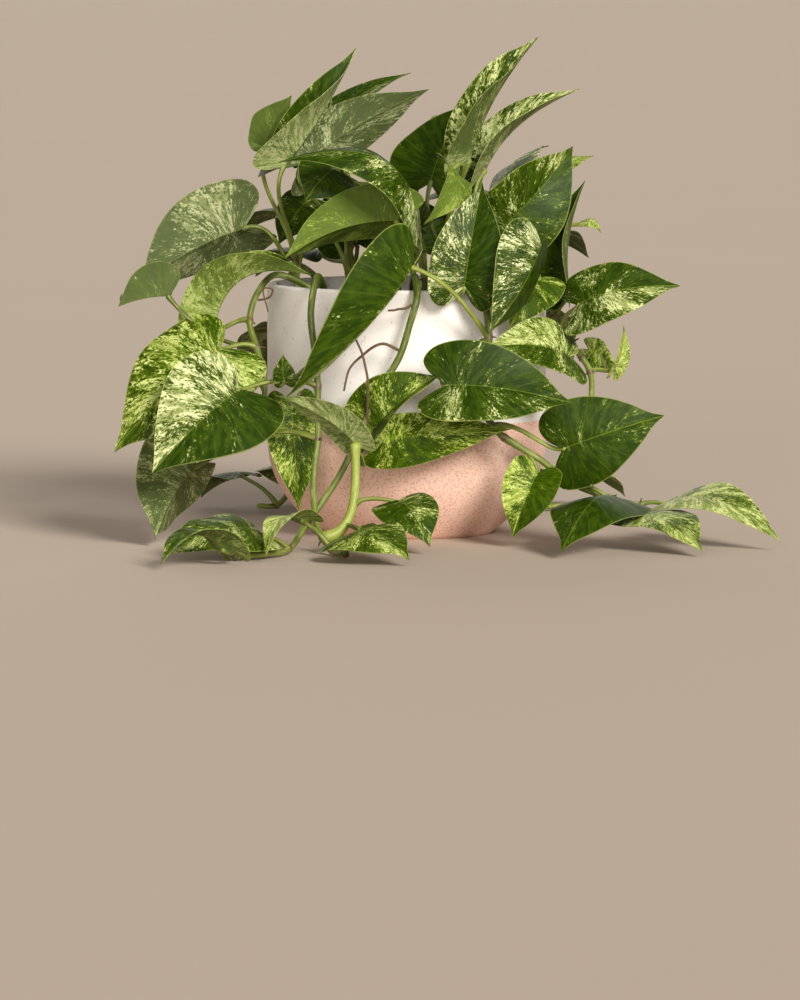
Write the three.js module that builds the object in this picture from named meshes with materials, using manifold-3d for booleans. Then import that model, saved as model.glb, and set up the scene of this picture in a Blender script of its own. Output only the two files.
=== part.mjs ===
// A potted pothos with marbled leaves, in a round two-tone pot.
//
// Millimetres, +Z up. The origin is the centre of the pot's flat underside, -Y is the front.
// The plant is a set of vines. Each vine is one solid: its stem, leaf stalks, blades and roots.
// Crown vines stand up from the soil. Trailers hang over the rim, and their ends lie beside the pot.

import * as THREE from "three";
import { mergeVertices } from "three/addons/utils/BufferGeometryUtils.js";
import Module from "manifold-3d";

// ---- Driving dimensions -------------------------------------------------------------------

const POT_RADIUS = 100;
const POT_HEIGHT = 179;
const POT_WALL = 7;
const POT_FLOOR = 9;
const POT_FOOT_RADIUS = 62;
const POT_BELLY_HEIGHT = 70; // below this the wall curves in to the foot
const POT_BELLY_POWER = 2.3; // how late the wall turns in
const RIM_ROUNDING = 2;
const POT_SIDES = 32;
const WALL_STEPS = 5; // straight pieces of the curved part of the wall

const SOIL_TOP = POT_HEIGHT - 15;
const SOIL_DOME = 5; // the soil is this much higher in the middle
const SOIL_SHOULDER = [0.6, 0.7]; // where the dome turns down: shares of its radius and height
const CLEARANCE = 0.3; // gap between pieces that touch
const HOLE_CLEARANCE = 0.5; // gap round a stem in its hole
const HOLE_SIDES = 8;

const ROOTED_DEPTH = 38; // how far a stem goes down into the soil
const UPRIGHT_LENGTH = 5; // a stem is still upright this far above the soil
const ROOT_POINTS = 3; // points of a stem's curve before its path
const STEM_SIDES = 5;
const STALK_SIDES = 4;
const STALK_RADIUS = 1.7;
const STALK_STEPS = 4;
const STALK_RISE = 0.6; // how much a stalk leans up where it leaves the stem
const STALK_REACH = 0.38; // how long a stalk keeps the direction of its ends, in shares of its length
const STALK_SUNK = 2; // how far a stalk's end is inside the blade
const STEM_STEP = 17; // length of one straight piece of a stem's tube
const ROOT_STEP = 10;
const BLADE_THICKNESS = 0.8;
const DEFAULT_ARCH = 0.1; // height of a midrib's arch, in lengths of the blade
const ARCH_LEAN = 0.4; // how much the arch leans back to the base
const CUP = 0.12; // how far both sides droop, in half widths of the blade
const VEIN_CURVE = 1.3; // side veins leave the midrib and bend to the tip
const SMALL_STEP = 0.01; // step over a surface that measures its slope
const WELD_DISTANCE = 1e-4;

// Half of a heart-shaped blade, from the notch at the stalk to the tip: the distance along the
// midrib, the distance across in half widths, and where on the midrib the side vein starts.
const BLADE_OUTLINE = [
  [0, 0, 0],
  [-0.115, 0.3, 0.01],
  [-0.15, 0.62, 0.03],
  [-0.06, 0.9, 0.06],
  [0.13, 1, 0.11],
  [0.34, 0.95, 0.19],
  [0.54, 0.75, 0.31],
  [0.73, 0.45, 0.47],
  [0.88, 0.16, 0.69],
  [1, 0, 1],
];
const BLADE_ROWS = [2, 3.4, 5, 6.5, 8]; // outline points that get a row of facets
const BLADE_COLUMNS = [-1, 0, 1];

// ---- The vines ----------------------------------------------------------------------------
//
// root: where the stem stands in the soil. path: the points it passes after that.
// Each leaf has the place on the path where its stalk starts (1 = first point of path), the
// base and the tip of its blade, the way its upper side faces, and its width.
// fold > 0 lifts both halves (radians), arch is the curve of the midrib, and twist turns the blade
// about its length from base to tip (radians). bend 0 means a straight stalk and bend 1 a stalk
// that meets the blade from below. leave and arrive set the stalk's direction at its two ends,
// and from starts it at a point on another stalk.
// roots are the brown aerial roots on a bare stem.

const VINES = [
  {
    name: "vine_trailer_left",
    radius: 2.4,
    root: [-66, -30],
    path: [
      [-93, -42, 187], [-106, -54, 174], [-111, -64, 156], [-106, -78, 138], [-100, -88, 116],
      [-102, -94, 84],
    ],
    leaves: [
      { at: 4, base: [-167, -70, 174], tip: [-202, -100, 168], face: [-0.1, 0.74, 0.66], width: 54,
        arch: 0.05, fold: 1, leave: [-1, 0.9, -0.1], arrive: [-0.6, 0, 0.8] },
      { at: 3, base: [-137, -56, 150], tip: [-67, -80, 189], face: [-0.49, 0.17, 0.85], width: 62,
        arch: 0.25, fold: 0.95 },
      { at: 4, base: [-130, -90, 138], tip: [-205, -108, 66], face: [-0.3, -0.85, 0.4], width: 84 },
      { at: 6, base: [-81, -98, 98], tip: [-76, -102, 25], face: [0.1, -1, 0.1], width: 40,
        arch: 0.06, fold: 0.2 },
    ],
    roots: [
      { radius: 0.8,
        path: [[-105, -56, 170], [-97, -60, 172], [-95, -62, 178], [-101, -63, 178], [-98, -64, 162]] },
    ],
  },
  {
    name: "vine_trailer_front_left",
    radius: 2.5,
    root: [-58, -54],
    path: [
      [-63, -90, 188], [-67, -112, 163], [-63, -118, 128], [-62, -122, 104], [-62, -126, 77],
      [-65, -134, 48], [-62, -150, 18], [-52, -172, 4], [-42, -200, 4],
    ],
    leaves: [
      { at: 3, base: [-85, -128, 116], tip: [-86, -124, 136], face: [-0.4, -0.9, 0.2], width: 18 },
      { at: 3.6, base: [-117, -126, 112], tip: [-177, -156, 55], face: [-0.2, -0.95, 0.35], width: 84,
        arch: 0.08, fold: 0.1, twist: 0.3 },
      { at: 5, base: [-148, -92, 56], tip: [-176, -118, 6], face: [-0.6, 0.7, 0.35], width: 86,
        arch: 0.08, fold: 0.5 },
      { at: 7.4, base: [-34, -140, 73], tip: [-90, -136, 108], face: [0.3, 0.75, 0.55], width: 34,
        fold: 0.3, leave: [1, 0.1, 0.1], arrive: [0, 0.1, 1], stalkRadius: 3.4 },
      { at: 7.4, from: [-36, -148, 33], base: [-5, -146, 36], tip: [16, -172, 6],
        face: [0.25, -0.8, 0.5], width: 46, arch: 0.14, leave: [0.4, -0.4, 0.6] },
      { at: 7.4, from: [-44, -154, 19], base: [-32, -162, 18], tip: [-22, -192, 5],
        face: [0.2, -0.5, 0.8], width: 20, fold: 0.5 },
      { at: 8, base: [-72, -180, 26], tip: [-96, -226, 5], face: [-0.5, -0.5, 0.7], width: 28,
        arch: 0.2, fold: 0.3 },
      { at: 9, base: [-40, -206, 18], tip: [2, -250, 5], face: [0.1, -0.45, 0.88], width: 60,
        arch: 0.12 },
    ],
  },
  {
    name: "vine_trailer_front",
    radius: 2.6,
    root: [4, -60],
    path: [
      [6, -90, 188], [7, -112, 174], [2, -115, 156], [-5, -117, 134], [-17, -118, 114],
      [-31, -118, 84], [-47, -122, 51], [-70, -138, 18], [-82, -168, 4], [-97, -200, 4],
      [-117, -212, 4],
    ],
    leaves: [
      { at: 5.6, base: [-23, -119, 82], tip: [24, -130, 122], face: [-0.47, -0.67, 0.56], width: 62,
        arch: 0.08, fold: 0.7 },
      { at: 6, base: [-20, -130, 75], tip: [73, -128, 84], face: [0.05, -0.9, 0.3], width: 40,
        fold: -0.3 },
      { at: 9, base: [-106, -184, 20], tip: [-164, -218, 5], face: [-0.05, -0.4, 0.9], width: 64 },
      { at: 11, base: [-124, -244, 12], tip: [-166, -280, 5], face: [-0.35, -0.2, 0.9], width: 40,
        arch: 0.25, fold: 0.35 },
    ],
    roots: [
      { radius: 1.1, path: [[5, -112, 170], [-1, -118, 168], [-13, -119, 166]] },
      { radius: 1.1, path: [[-28, -118, 86], [-27, -125, 113], [-31, -122, 136], [-38, -117, 151]] },
      { radius: 1.1,
        path: [[-4, -117, 138], [-18, -120, 143], [-31, -117, 135], [-40, -117, 125], [-44, -118, 110]] },
    ],
  },
  {
    name: "vine_trailer_front_right",
    radius: 2.6,
    root: [50, -50],
    path: [
      [52, -84, 188], [56, -102, 165], [57, -108, 145], [51, -112, 118], [60, -114, 85],
      [94, -112, 61], [116, -102, 44], [145, -94, 32], [164, -90, 27],
    ],
    leaves: [
      { at: 2.9, base: [5, -138, 199], tip: [-83, -158, 109], face: [0.58, -0.6, -0.56], width: 70,
        arch: 0.06, fold: -0.5, leave: [-0.5, -0.5, 0.7], arrive: [-0.8, -0.2, 0.3] },
      { at: 3, base: [27, -144, 116], tip: [115, -138, 103], face: [0.05, -0.91, 0.42], width: 66,
        fold: 0.4 },
      { at: 5, base: [109, -114, 69], tip: [180, -120, 93], face: [0.05, -0.95, 0.25], width: 64,
        arch: 0.08, fold: 0.15, twist: -0.5 },
      { at: 5.3, base: [91, -118, 52], tip: [74, -124, 8], face: [-0.2, -0.95, 0.1], width: 42,
        fold: 0.35 },
      { at: 7, base: [143, -110, 36], tip: [106, -206, 6], face: [-0.15, -0.55, 0.82], width: 66,
        fold: -0.15 },
      { at: 8, base: [160, -106, 22], tip: [204, -188, 5], face: [0.15, -0.5, 0.85], width: 58 },
      { at: 9, base: [188, -84, 30], tip: [260, -146, 7], face: [0.15, -0.5, 0.85], width: 50,
        arch: 0.14, fold: 0.15 },
    ],
  },
  {
    name: "vine_trailer_right",
    radius: 2.4,
    root: [70, -24],
    path: [[92, -30, 188], [106, -38, 158], [117, -52, 139], [130, -60, 119], [131, -62, 100]],
    leaves: [
      { at: 2, base: [115, -46, 178], tip: [127, -25, 253], face: [-0.83, -0.53, 0.17], width: 49,
        arch: 0.08, fold: 0.79 },
      { at: 2.4, base: [120, -82, 168], tip: [192, -92, 182], face: [0.15, -0.8, 0.6], width: 52,
        arch: 0.12, fold: 0.15 },
      { at: 3, base: [115, -92, 132], tip: [54, -118, 140], face: [0.05, -0.7, 0.7], width: 54,
        arch: 0.12, fold: 0.2 },
      { at: 4, base: [147, -50, 119], tip: [154, -48, 151], face: [0.6, -0.6, 0.3], width: 16,
        fold: 0.6 },
      { at: 3.5, base: [130, -30, 133], tip: [152, -20, 115], face: [0.3, -0.6, 0.6], width: 30 },
    ],
  },
  {
    name: "vine_crown_left",
    radius: 2.3,
    root: [-78, -8],
    path: [[-79, -8, 182], [-80, -6, 196]],
    leaves: [
      { at: 2, base: [-88, -34, 263], tip: [-36, -6, 347], face: [-0.79, -0.36, 0.49], width: 62,
        arch: -0.04, fold: 0.82, twist: 1, bend: 0.1 },
      { at: 1, base: [-70, 20, 238], tip: [-92, 10, 206], face: [-0.3, -0.8, 0.5], width: 40,
        bend: 0.2 },
      { at: 1, base: [-115, -30, 220], tip: [-190, -56, 180], face: [-0.2, 0.9, 0.37], width: 80,
        fold: 0.6, bend: 0.1 },
      { at: 2, base: [-103, 30, 273], tip: [-83, 44, 312], face: [-0.5, 0.8, 0.3], width: 44,
        bend: 0.2 },
    ],
  },
  {
    name: "vine_crown_left_back",
    radius: 2.3,
    root: [-40, 10],
    path: [[-42, 12, 185], [-40, 14, 205]],
    leaves: [
      { at: 2, base: [-64, 40, 283], tip: [3, 54, 328], face: [-0.3, -0.5, 0.8], width: 32,
        fold: 0.3, bend: 0.2 },
      { at: 2, base: [-74, 0, 264], tip: [16, -14, 318], face: [-0.17, 0.94, 0.29], width: 48,
        fold: 0.3, bend: 0.2 },
      { at: 1, base: [-52, -46, 262], tip: [-72, -62, 240], face: [-0.2, -0.9, 0.2], width: 46,
        arch: 0.15 },
      { at: 1, base: [-74, 24, 264], tip: [-43, 28, 301], face: [-0.4, -0.8, 0.4], width: 26 },
    ],
  },
  {
    name: "vine_crown_front",
    radius: 2.4,
    root: [12, -38],
    path: [[13, -40, 184], [12, -40, 204]],
    leaves: [
      { at: 2, base: [8, -62, 238], tip: [-90, -84, 268], face: [0.2, -0.5, 0.84], width: 50,
        arch: 0.26, fold: -0.3, arrive: [-0.1, 0, 1] },
      { at: 1, base: [-6, -66, 227], tip: [-86, -92, 201], face: [-0.26, 0.82, 0.49], width: 56,
        arch: 0.14, fold: 0.61, arrive: [-0.6, 0, 0.6] },
      { at: 2, base: [7, -36, 221], tip: [-39, -20, 253], face: [-0.5, 0.65, 0.55], width: 36,
        arch: 0.12, fold: 0.2, bend: 0.3 },
    ],
  },
  {
    name: "vine_crown_middle",
    radius: 2.4,
    root: [26, -8],
    path: [[27, -8, 186], [28, -8, 212]],
    leaves: [
      { at: 1, base: [17, 31, 249], tip: [46, 59, 307], face: [-0.35, -0.85, 0.3], width: 74,
        bend: 0.2 },
      { at: 2, base: [44, -30, 266], tip: [94, -4, 355], face: [-0.81, -0.38, 0.45], width: 68,
        arch: 0.06, fold: 0.66, twist: 0.9, bend: 0.1 },
      { at: 2, base: [32, -60, 263], tip: [12, -90, 225], face: [-0.75, 0.3, -0.5], width: 28,
        arch: -0.3, bend: 0.4 },
    ],
  },
  {
    name: "vine_crown_right",
    radius: 2.4,
    root: [44, -14],
    path: [[46, -16, 186], [50, -14, 206]],
    leaves: [
      { at: 2, base: [55, 2, 258], tip: [124, 24, 317], face: [-0.61, -0.31, 0.73], width: 58,
        arch: 0.1, fold: 0.6, twist: 0.4, bend: 0.1 },
      { at: 2, base: [64, -58, 219], tip: [118, -36, 278], face: [0.21, -0.96, -0.19], width: 68,
        fold: 0.45, bend: 0.3 },
      { at: 1, base: [108, 18, 258], tip: [135, 26, 269], face: [0.1, -0.4, 0.9], width: 16,
        bend: 0.3 },
    ],
  },
  {
    name: "vine_crown_right_front",
    radius: 2.4,
    root: [38, -66],
    path: [[38, -68, 184], [40, -70, 200]],
    leaves: [
      { at: 1, base: [40, -108, 180], tip: [53, -92, 255], face: [-0.12, -0.95, 0.2], width: 56,
        arch: 0.06, fold: 0.4, bend: 0.2 },
      { at: 1, base: [94, -106, 213], tip: [56, -132, 150], face: [0.53, -0.79, -0.31], width: 56,
        arch: 0.08, fold: -0.4, leave: [0.1, -0.3, 1], arrive: [0.6, -0.5, 0.3] },
      { at: 1, base: [68, -30, 207], tip: [91, -16, 239], face: [-0.2, -0.85, 0.4], width: 40 },
    ],
  },
  {
    name: "vine_crown_right_side",
    radius: 2.4,
    root: [72, 12],
    path: [[74, 12, 186], [77, 10, 206]],
    leaves: [
      { at: 1, base: [95, -75, 187], tip: [72, -92, 152], face: [-0.15, -0.9, 0.35], width: 40,
        leave: [0, -1, 0.4], arrive: [0.5, -0.85, 0] },
      { at: 2, base: [128, 14, 222], tip: [140, 14, 214], face: [0.3, -0.5, 0.8], width: 13,
        arch: 0.25 },
    ],
  },
  {
    name: "vine_back_crown_left",
    radius: 2.3,
    root: [-36, 42],
    path: [[-38, 44, 184], [-42, 48, 206]],
    leaves: [
      { at: 1, base: [-78, 62, 228], tip: [-132, 96, 206], face: [-0.4, 0.35, 0.8], width: 62,
        arch: 0.12 },
      { at: 2, base: [-44, 64, 258], tip: [-58, 98, 312], face: [-0.3, 0.6, 0.5], width: 52,
        bend: 0.2 },
      { at: 2, base: [-26, 92, 226], tip: [-44, 158, 194], face: [-0.1, 0.7, 0.7], width: 64,
        arch: 0.12 },
      { at: 1, base: [-62, 88, 196], tip: [-112, 136, 176], face: [-0.4, 0.5, 0.75], width: 58,
        arch: 0.14 },
      { at: 1, base: [-36, 26, 206], tip: [-48, 36, 260], face: [-0.1, -0.9, 0.3], width: 58 },
    ],
  },
  {
    name: "vine_back_crown_middle",
    radius: 2.3,
    root: [4, 52],
    path: [[5, 55, 186], [6, 60, 214]],
    leaves: [
      { at: 2, base: [8, 70, 256], tip: [22, 118, 296], face: [0, 0.6, 0.6], width: 58, bend: 0.15 },
      { at: 1, base: [2, 106, 232], tip: [-4, 172, 204], face: [0.1, 0.65, 0.75], width: 66,
        arch: 0.12 },
      { at: 2, base: [34, 84, 240], tip: [70, 132, 226], face: [0.3, 0.4, 0.85], width: 50,
        arch: 0.12 },
      { at: 1, base: [10, 40, 200], tip: [-2, 50, 244], face: [0.1, -0.9, 0.3], width: 56 },
    ],
  },
  {
    name: "vine_back_crown_right",
    radius: 2.3,
    root: [48, 40],
    path: [[50, 42, 184], [54, 46, 208]],
    leaves: [
      { at: 2, base: [70, 52, 250], tip: [104, 92, 274], face: [0.1, 0.5, 0.85], width: 48, bend: 0.2 },
      { at: 1, base: [88, 66, 216], tip: [134, 98, 192], face: [0.45, 0.4, 0.8], width: 58,
        arch: 0.12 },
      { at: 1, base: [58, 98, 208], tip: [80, 164, 184], face: [0.25, 0.65, 0.7], width: 56,
        arch: 0.12 },
      { at: 1, base: [56, 22, 200], tip: [68, 30, 246], face: [0, -0.9, 0.3], width: 50 },
    ],
  },
  {
    name: "vine_trailer_back_left",
    radius: 2.4,
    root: [-60, 36],
    path: [
      [-80, 58, 188], [-88, 72, 158], [-84, 84, 112], [-80, 96, 66], [-84, 112, 26], [-96, 136, 6],
      [-110, 152, 4],
    ],
    leaves: [
      { at: 1.7, base: [-98, 104, 142], tip: [-106, 138, 88], face: [-0.4, 0.8, 0.4], width: 52,
        arch: 0.12 },
      { at: 2.5, base: [-58, 122, 118], tip: [-56, 150, 52], face: [-0.2, 0.92, 0.25], width: 58 },
      { at: 5, base: [-88, 168, 34], tip: [-90, 216, 8], face: [-0.1, 0.6, 0.8], width: 50,
        arch: 0.12 },
      { at: 6, base: [-124, 156, 28], tip: [-154, 184, 7], face: [-0.3, 0.3, 0.85], width: 42,
        arch: 0.14 },
    ],
  },
  {
    name: "vine_trailer_back_right",
    radius: 2.4,
    root: [56, 58],
    path: [
      [72, 72, 188], [80, 84, 156], [78, 94, 108], [78, 106, 60], [86, 126, 22], [100, 146, 5],
      [118, 156, 4],
    ],
    leaves: [
      { at: 1.7, base: [96, 102, 154], tip: [114, 134, 104], face: [0.4, 0.75, 0.5], width: 52,
        arch: 0.12 },
      { at: 2.5, base: [62, 134, 122], tip: [64, 160, 58], face: [0.2, 0.93, 0.25], width: 56 },
      { at: 5, base: [92, 178, 34], tip: [96, 228, 7], face: [0.2, 0.6, 0.8], width: 52, arch: 0.12 },
      { at: 6, base: [132, 160, 30], tip: [164, 182, 8], face: [0.4, 0.2, 0.85], width: 44,
        arch: 0.14 },
    ],
  },
  {
    name: "vine_trailer_back",
    radius: 2.4,
    root: [-6, 70],
    path: [[-6, 94, 191], [-4, 110, 164], [0, 113, 116], [4, 118, 72], [2, 130, 28], [-8, 152, 4]],
    leaves: [
      { at: 1.7, base: [28, 134, 158], tip: [46, 156, 98], face: [0.2, 0.92, 0.3], width: 54,
        arch: 0.12 },
      { at: 2.5, base: [-34, 138, 136], tip: [-44, 162, 76], face: [-0.2, 0.92, 0.3], width: 54,
        arch: 0.12 },
      { at: 4, base: [30, 160, 66], tip: [36, 206, 14], face: [0.2, 0.7, 0.65], width: 56, arch: 0.12 },
      { at: 5, base: [-36, 176, 36], tip: [-60, 226, 8], face: [-0.2, 0.6, 0.8], width: 50,
        arch: 0.12 },
    ],
  },
];

// ---- Materials ----------------------------------------------------------------------------

const MATERIALS = {
  pot: { color: 0xeae6df, roughness: 0.55, metalness: 0 },
  soil: { color: 0x3b2c22, roughness: 1, metalness: 0 },
  vine: { color: 0x4f8a2f, roughness: 0.45, metalness: 0 },
};

// ---- Solids -------------------------------------------------------------------------------

const wasm = await Module();
wasm.setup();

function vector(values) {
  return new THREE.Vector3(...values);
}

function toSolid(geometry) {
  const bare = geometry.clone();
  bare.deleteAttribute("normal");
  bare.deleteAttribute("uv");
  const welded = mergeVertices(bare, WELD_DISTANCE);
  return new wasm.Manifold(new wasm.Mesh({
    numProp: 3,
    vertProperties: new Float32Array(welded.attributes.position.array),
    triVerts: new Uint32Array(welded.index.array),
  }));
}

function toMesh(name, solid, look) {
  const { vertProperties, triVerts } = solid.getMesh();
  const geometry = new THREE.BufferGeometry();
  geometry.setAttribute("position", new THREE.BufferAttribute(vertProperties, 3));
  geometry.setIndex(new THREE.BufferAttribute(triVerts, 1));
  geometry.computeVertexNormals();
  const mesh = new THREE.Mesh(geometry, new THREE.MeshStandardMaterial(look));
  mesh.name = name;
  return mesh;
}

function tube(curve, radius, sides, steps) {
  const corners = [];
  for (let i = 0; i < sides; i += 1) {
    const angle = (i / sides) * Math.PI * 2;
    corners.push(new THREE.Vector2(radius * Math.cos(angle), radius * Math.sin(angle)));
  }
  const section = new THREE.Shape(corners);
  return toSolid(new THREE.ExtrudeGeometry(section, { steps, bevelEnabled: false, extrudePath: curve }));
}

function fuse(solids) {
  return solids.reduce((whole, solid) => whole.add(solid));
}

// ---- Pot and soil -------------------------------------------------------------------------

function potRadius(height) {
  const below = Math.max(0, 1 - height / POT_BELLY_HEIGHT);
  return POT_RADIUS - (POT_RADIUS - POT_FOOT_RADIUS) * below ** POT_BELLY_POWER;
}

function wallHeights(from, to) {
  const heights = [];
  for (let i = 0; i <= WALL_STEPS; i += 1) {
    heights.push(from + (POT_BELLY_HEIGHT - from) * (i / WALL_STEPS));
  }
  heights.push(to);
  return heights;
}

function rimArc(radius, startAngle) {
  const centreHeight = POT_HEIGHT - RIM_ROUNDING;
  return [0, 1, 2].map((i) => {
    const angle = startAngle + (i * Math.PI) / 4;
    return new THREE.Vector2(
      radius + RIM_ROUNDING * Math.cos(angle),
      centreHeight + RIM_ROUNDING * Math.sin(angle),
    );
  });
}

function potSolid() {
  const outside = wallHeights(0, POT_HEIGHT - 2 * RIM_ROUNDING)
    .map((height) => new THREE.Vector2(potRadius(height), height));
  const inside = wallHeights(POT_FLOOR, POT_HEIGHT - 2 * RIM_ROUNDING)
    .map((height) => new THREE.Vector2(potRadius(height) - POT_WALL, height))
    .reverse();
  const profile = [
    new THREE.Vector2(0, 0),
    ...outside,
    ...rimArc(POT_RADIUS - RIM_ROUNDING, 0),
    ...rimArc(POT_RADIUS - POT_WALL + RIM_ROUNDING, Math.PI / 2),
    ...inside,
    new THREE.Vector2(0, POT_FLOOR),
  ];
  const upright = new THREE.LatheGeometry(profile, POT_SIDES).rotateX(Math.PI / 2);
  return toSolid(upright);
}

function soilSolid(stems) {
  const reach = POT_WALL + CLEARANCE;
  const bottom = POT_FLOOR + CLEARANCE;
  const wall = wallHeights(bottom, SOIL_TOP)
    .map((height) => new THREE.Vector2(potRadius(height) - reach, height));
  const [shoulderRadius, shoulderHeight] = SOIL_SHOULDER;
  const profile = [
    new THREE.Vector2(0, bottom),
    ...wall,
    new THREE.Vector2((POT_RADIUS - reach) * shoulderRadius, SOIL_TOP + SOIL_DOME * shoulderHeight),
    new THREE.Vector2(0, SOIL_TOP + SOIL_DOME),
  ];
  const upright = new THREE.LatheGeometry(profile, POT_SIDES).rotateX(Math.PI / 2);
  return stems.reduce((soil, stem) => soil.subtract(stem), toSolid(upright));
}

// ---- Vines --------------------------------------------------------------------------------

const bladeOutline = new THREE.CatmullRomCurve3(BLADE_OUTLINE.map(vector));

// The arch of a midrib over the straight line from its base to its tip.
function archHeight(along) {
  return 4 * along * (1 - along) * (1 + ARCH_LEAN * (0.5 - along));
}

// The blade's middle surface: a point for a place along the midrib and across it (-1 to 1).
function bladeSurface(leaf) {
  const { width, arch = DEFAULT_ARCH, fold = 0, twist = 0 } = leaf;
  const base = vector(leaf.base);
  const chord = vector(leaf.tip).sub(base);
  const length = chord.length();
  const forward = chord.normalize();
  const face = vector(leaf.face);
  face.addScaledVector(forward, -face.dot(forward)).normalize();
  const sideways = face.clone().cross(forward);
  return (along, across) => {
    const lift = arch * length * archHeight(along);
    const climb = archHeight(along + SMALL_STEP) - archHeight(along - SMALL_STEP);
    const slope = (arch * climb) / (2 * SMALL_STEP);
    const turn = twist * (along - 0.5);
    const beside = sideways.clone().applyAxisAngle(forward, turn);
    const upward = face.clone().applyAxisAngle(forward, turn).addScaledVector(forward, -slope).normalize();
    const halfWidth = width / 2;
    const distance = across * halfWidth;
    const rise = Math.abs(distance) * Math.sin(fold) - CUP * halfWidth * across ** 2;
    return base.clone()
      .addScaledVector(forward, length * along)
      .addScaledVector(face, lift)
      .addScaledVector(beside, distance * Math.cos(fold))
      .addScaledVector(upward, rise);
  };
}

function bladeNormal(surface, along, across) {
  const forward = surface(along + SMALL_STEP, across).sub(surface(along - SMALL_STEP, across));
  const sideways = surface(along, across + SMALL_STEP).sub(surface(along, across - SMALL_STEP));
  return forward.cross(sideways).normalize();
}

// Both faces of the blade are split into the same triangles, and a rim strip joins them.
function bladeSolid(leaf) {
  const surface = bladeSurface(leaf);
  const places = [[0, 0]];
  for (const row of BLADE_ROWS) {
    const edge = bladeOutline.getPoint(row / (BLADE_OUTLINE.length - 1));
    for (const column of BLADE_COLUMNS) {
      const along = edge.z + (edge.x - edge.z) * Math.abs(column) ** VEIN_CURVE;
      places.push([along, edge.y * column]);
    }
  }
  places.push([1, 0]);

  const columns = BLADE_COLUMNS.length;
  const tip = places.length - 1;
  const index = (row, column) => 1 + row * columns + column;
  const lastRow = BLADE_ROWS.length - 1;
  const faces = [];
  for (let column = 0; column < columns - 1; column += 1) {
    faces.push([0, index(0, column), index(0, column + 1)]);
    faces.push([tip, index(lastRow, column + 1), index(lastRow, column)]);
    for (let row = 0; row < lastRow; row += 1) {
      const near = [index(row, column), index(row, column + 1)];
      const far = [index(row + 1, column), index(row + 1, column + 1)];
      faces.push([near[0], far[0], near[1]], [near[1], far[0], far[1]]);
    }
  }
  const rim = [0];
  for (let row = 0; row <= lastRow; row += 1) rim.push(index(row, 0));
  rim.push(tip);
  for (let row = lastRow; row >= 0; row -= 1) rim.push(index(row, columns - 1));

  const top = [];
  const bottom = [];
  for (const [along, across] of places) {
    const point = surface(along, across);
    const offset = bladeNormal(surface, along, across).multiplyScalar(BLADE_THICKNESS / 2);
    top.push(...point.clone().add(offset).toArray());
    bottom.push(...point.sub(offset).toArray());
  }
  const triangles = [];
  for (const [a, b, c] of faces) {
    triangles.push(a, b, c, a + places.length, c + places.length, b + places.length);
  }
  rim.forEach((from, i) => {
    const to = rim[(i + 1) % rim.length];
    triangles.push(to, from, from + places.length, to, from + places.length, to + places.length);
  });
  return new wasm.Manifold(new wasm.Mesh({
    numProp: 3,
    vertProperties: new Float32Array([...top, ...bottom]),
    triVerts: new Uint32Array(triangles),
  }));
}

// A leaf stalk leaves the stem towards the blade and ends just inside it.
function stalkCurve(leaf, stem) {
  const { bend = 0.5 } = leaf;
  const start = leaf.from
    ? vector(leaf.from)
    : stem.getPoint((leaf.at + ROOT_POINTS - 1) / (stem.points.length - 1));
  const forward = vector(leaf.tip).sub(vector(leaf.base)).normalize();
  const face = vector(leaf.face);
  face.addScaledVector(forward, -face.dot(forward)).normalize();
  const end = vector(leaf.base).addScaledVector(forward, STALK_SUNK);
  const reach = end.distanceTo(start) * STALK_REACH;
  const towards = end.clone().sub(start).normalize();
  const leave = leaf.leave ? vector(leaf.leave) : towards.add(new THREE.Vector3(0, 0, STALK_RISE));
  const arrive = leaf.arrive
    ? vector(leaf.arrive)
    : forward.multiplyScalar(1 - bend).addScaledVector(face, bend);
  return new THREE.CubicBezierCurve3(
    start,
    start.clone().addScaledVector(leave.normalize(), reach),
    end.clone().addScaledVector(arrive.normalize(), -reach),
    end,
  );
}

function stalkSolid(leaf, stem) {
  const { stalkRadius = STALK_RADIUS } = leaf;
  return tube(stalkCurve(leaf, stem), stalkRadius, STALK_SIDES, STALK_STEPS);
}

function stemCurve({ root: [x, y], path }) {
  const bottom = SOIL_TOP - ROOTED_DEPTH;
  const above = SOIL_TOP + SOIL_DOME;
  const points = [[x, y, bottom], [x, y, above], [x, y, above + UPRIGHT_LENGTH], ...path];
  return new THREE.CatmullRomCurve3(points.map(vector));
}

function curveTube(curve, radius, sides, stepLength) {
  return tube(curve, radius, sides, Math.ceil(curve.getLength() / stepLength));
}

function rootSolid({ path, radius }) {
  return curveTube(new THREE.CatmullRomCurve3(path.map(vector)), radius, STALK_SIDES, ROOT_STEP);
}

function vineSolid(vine) {
  const { radius, leaves, roots = [] } = vine;
  const stem = stemCurve(vine);
  return fuse([
    curveTube(stem, radius, STEM_SIDES, STEM_STEP),
    ...leaves.map(bladeSolid),
    ...leaves.map((leaf) => stalkSolid(leaf, stem)),
    ...roots.map(rootSolid),
  ]);
}

// The hole that a stem stands in: straight down through the soil, a little wider and deeper.
function stemHole({ root: [x, y], radius }) {
  const bottom = vector([x, y, SOIL_TOP - ROOTED_DEPTH - CLEARANCE]);
  const top = vector([x, y, SOIL_TOP + SOIL_DOME + UPRIGHT_LENGTH]);
  return tube(new THREE.LineCurve3(bottom, top), radius + HOLE_CLEARANCE, HOLE_SIDES, 1);
}

// ---- The assembly -------------------------------------------------------------------------

const pottedPothos = new THREE.Group();
pottedPothos.add(toMesh("pot", potSolid(), MATERIALS.pot));
pottedPothos.add(toMesh("soil", soilSolid(VINES.map(stemHole)), MATERIALS.soil));
for (const vine of VINES) {
  pottedPothos.add(toMesh(vine.name, vineSolid(vine), MATERIALS.vine));
}

export default pottedPothos;
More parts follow.
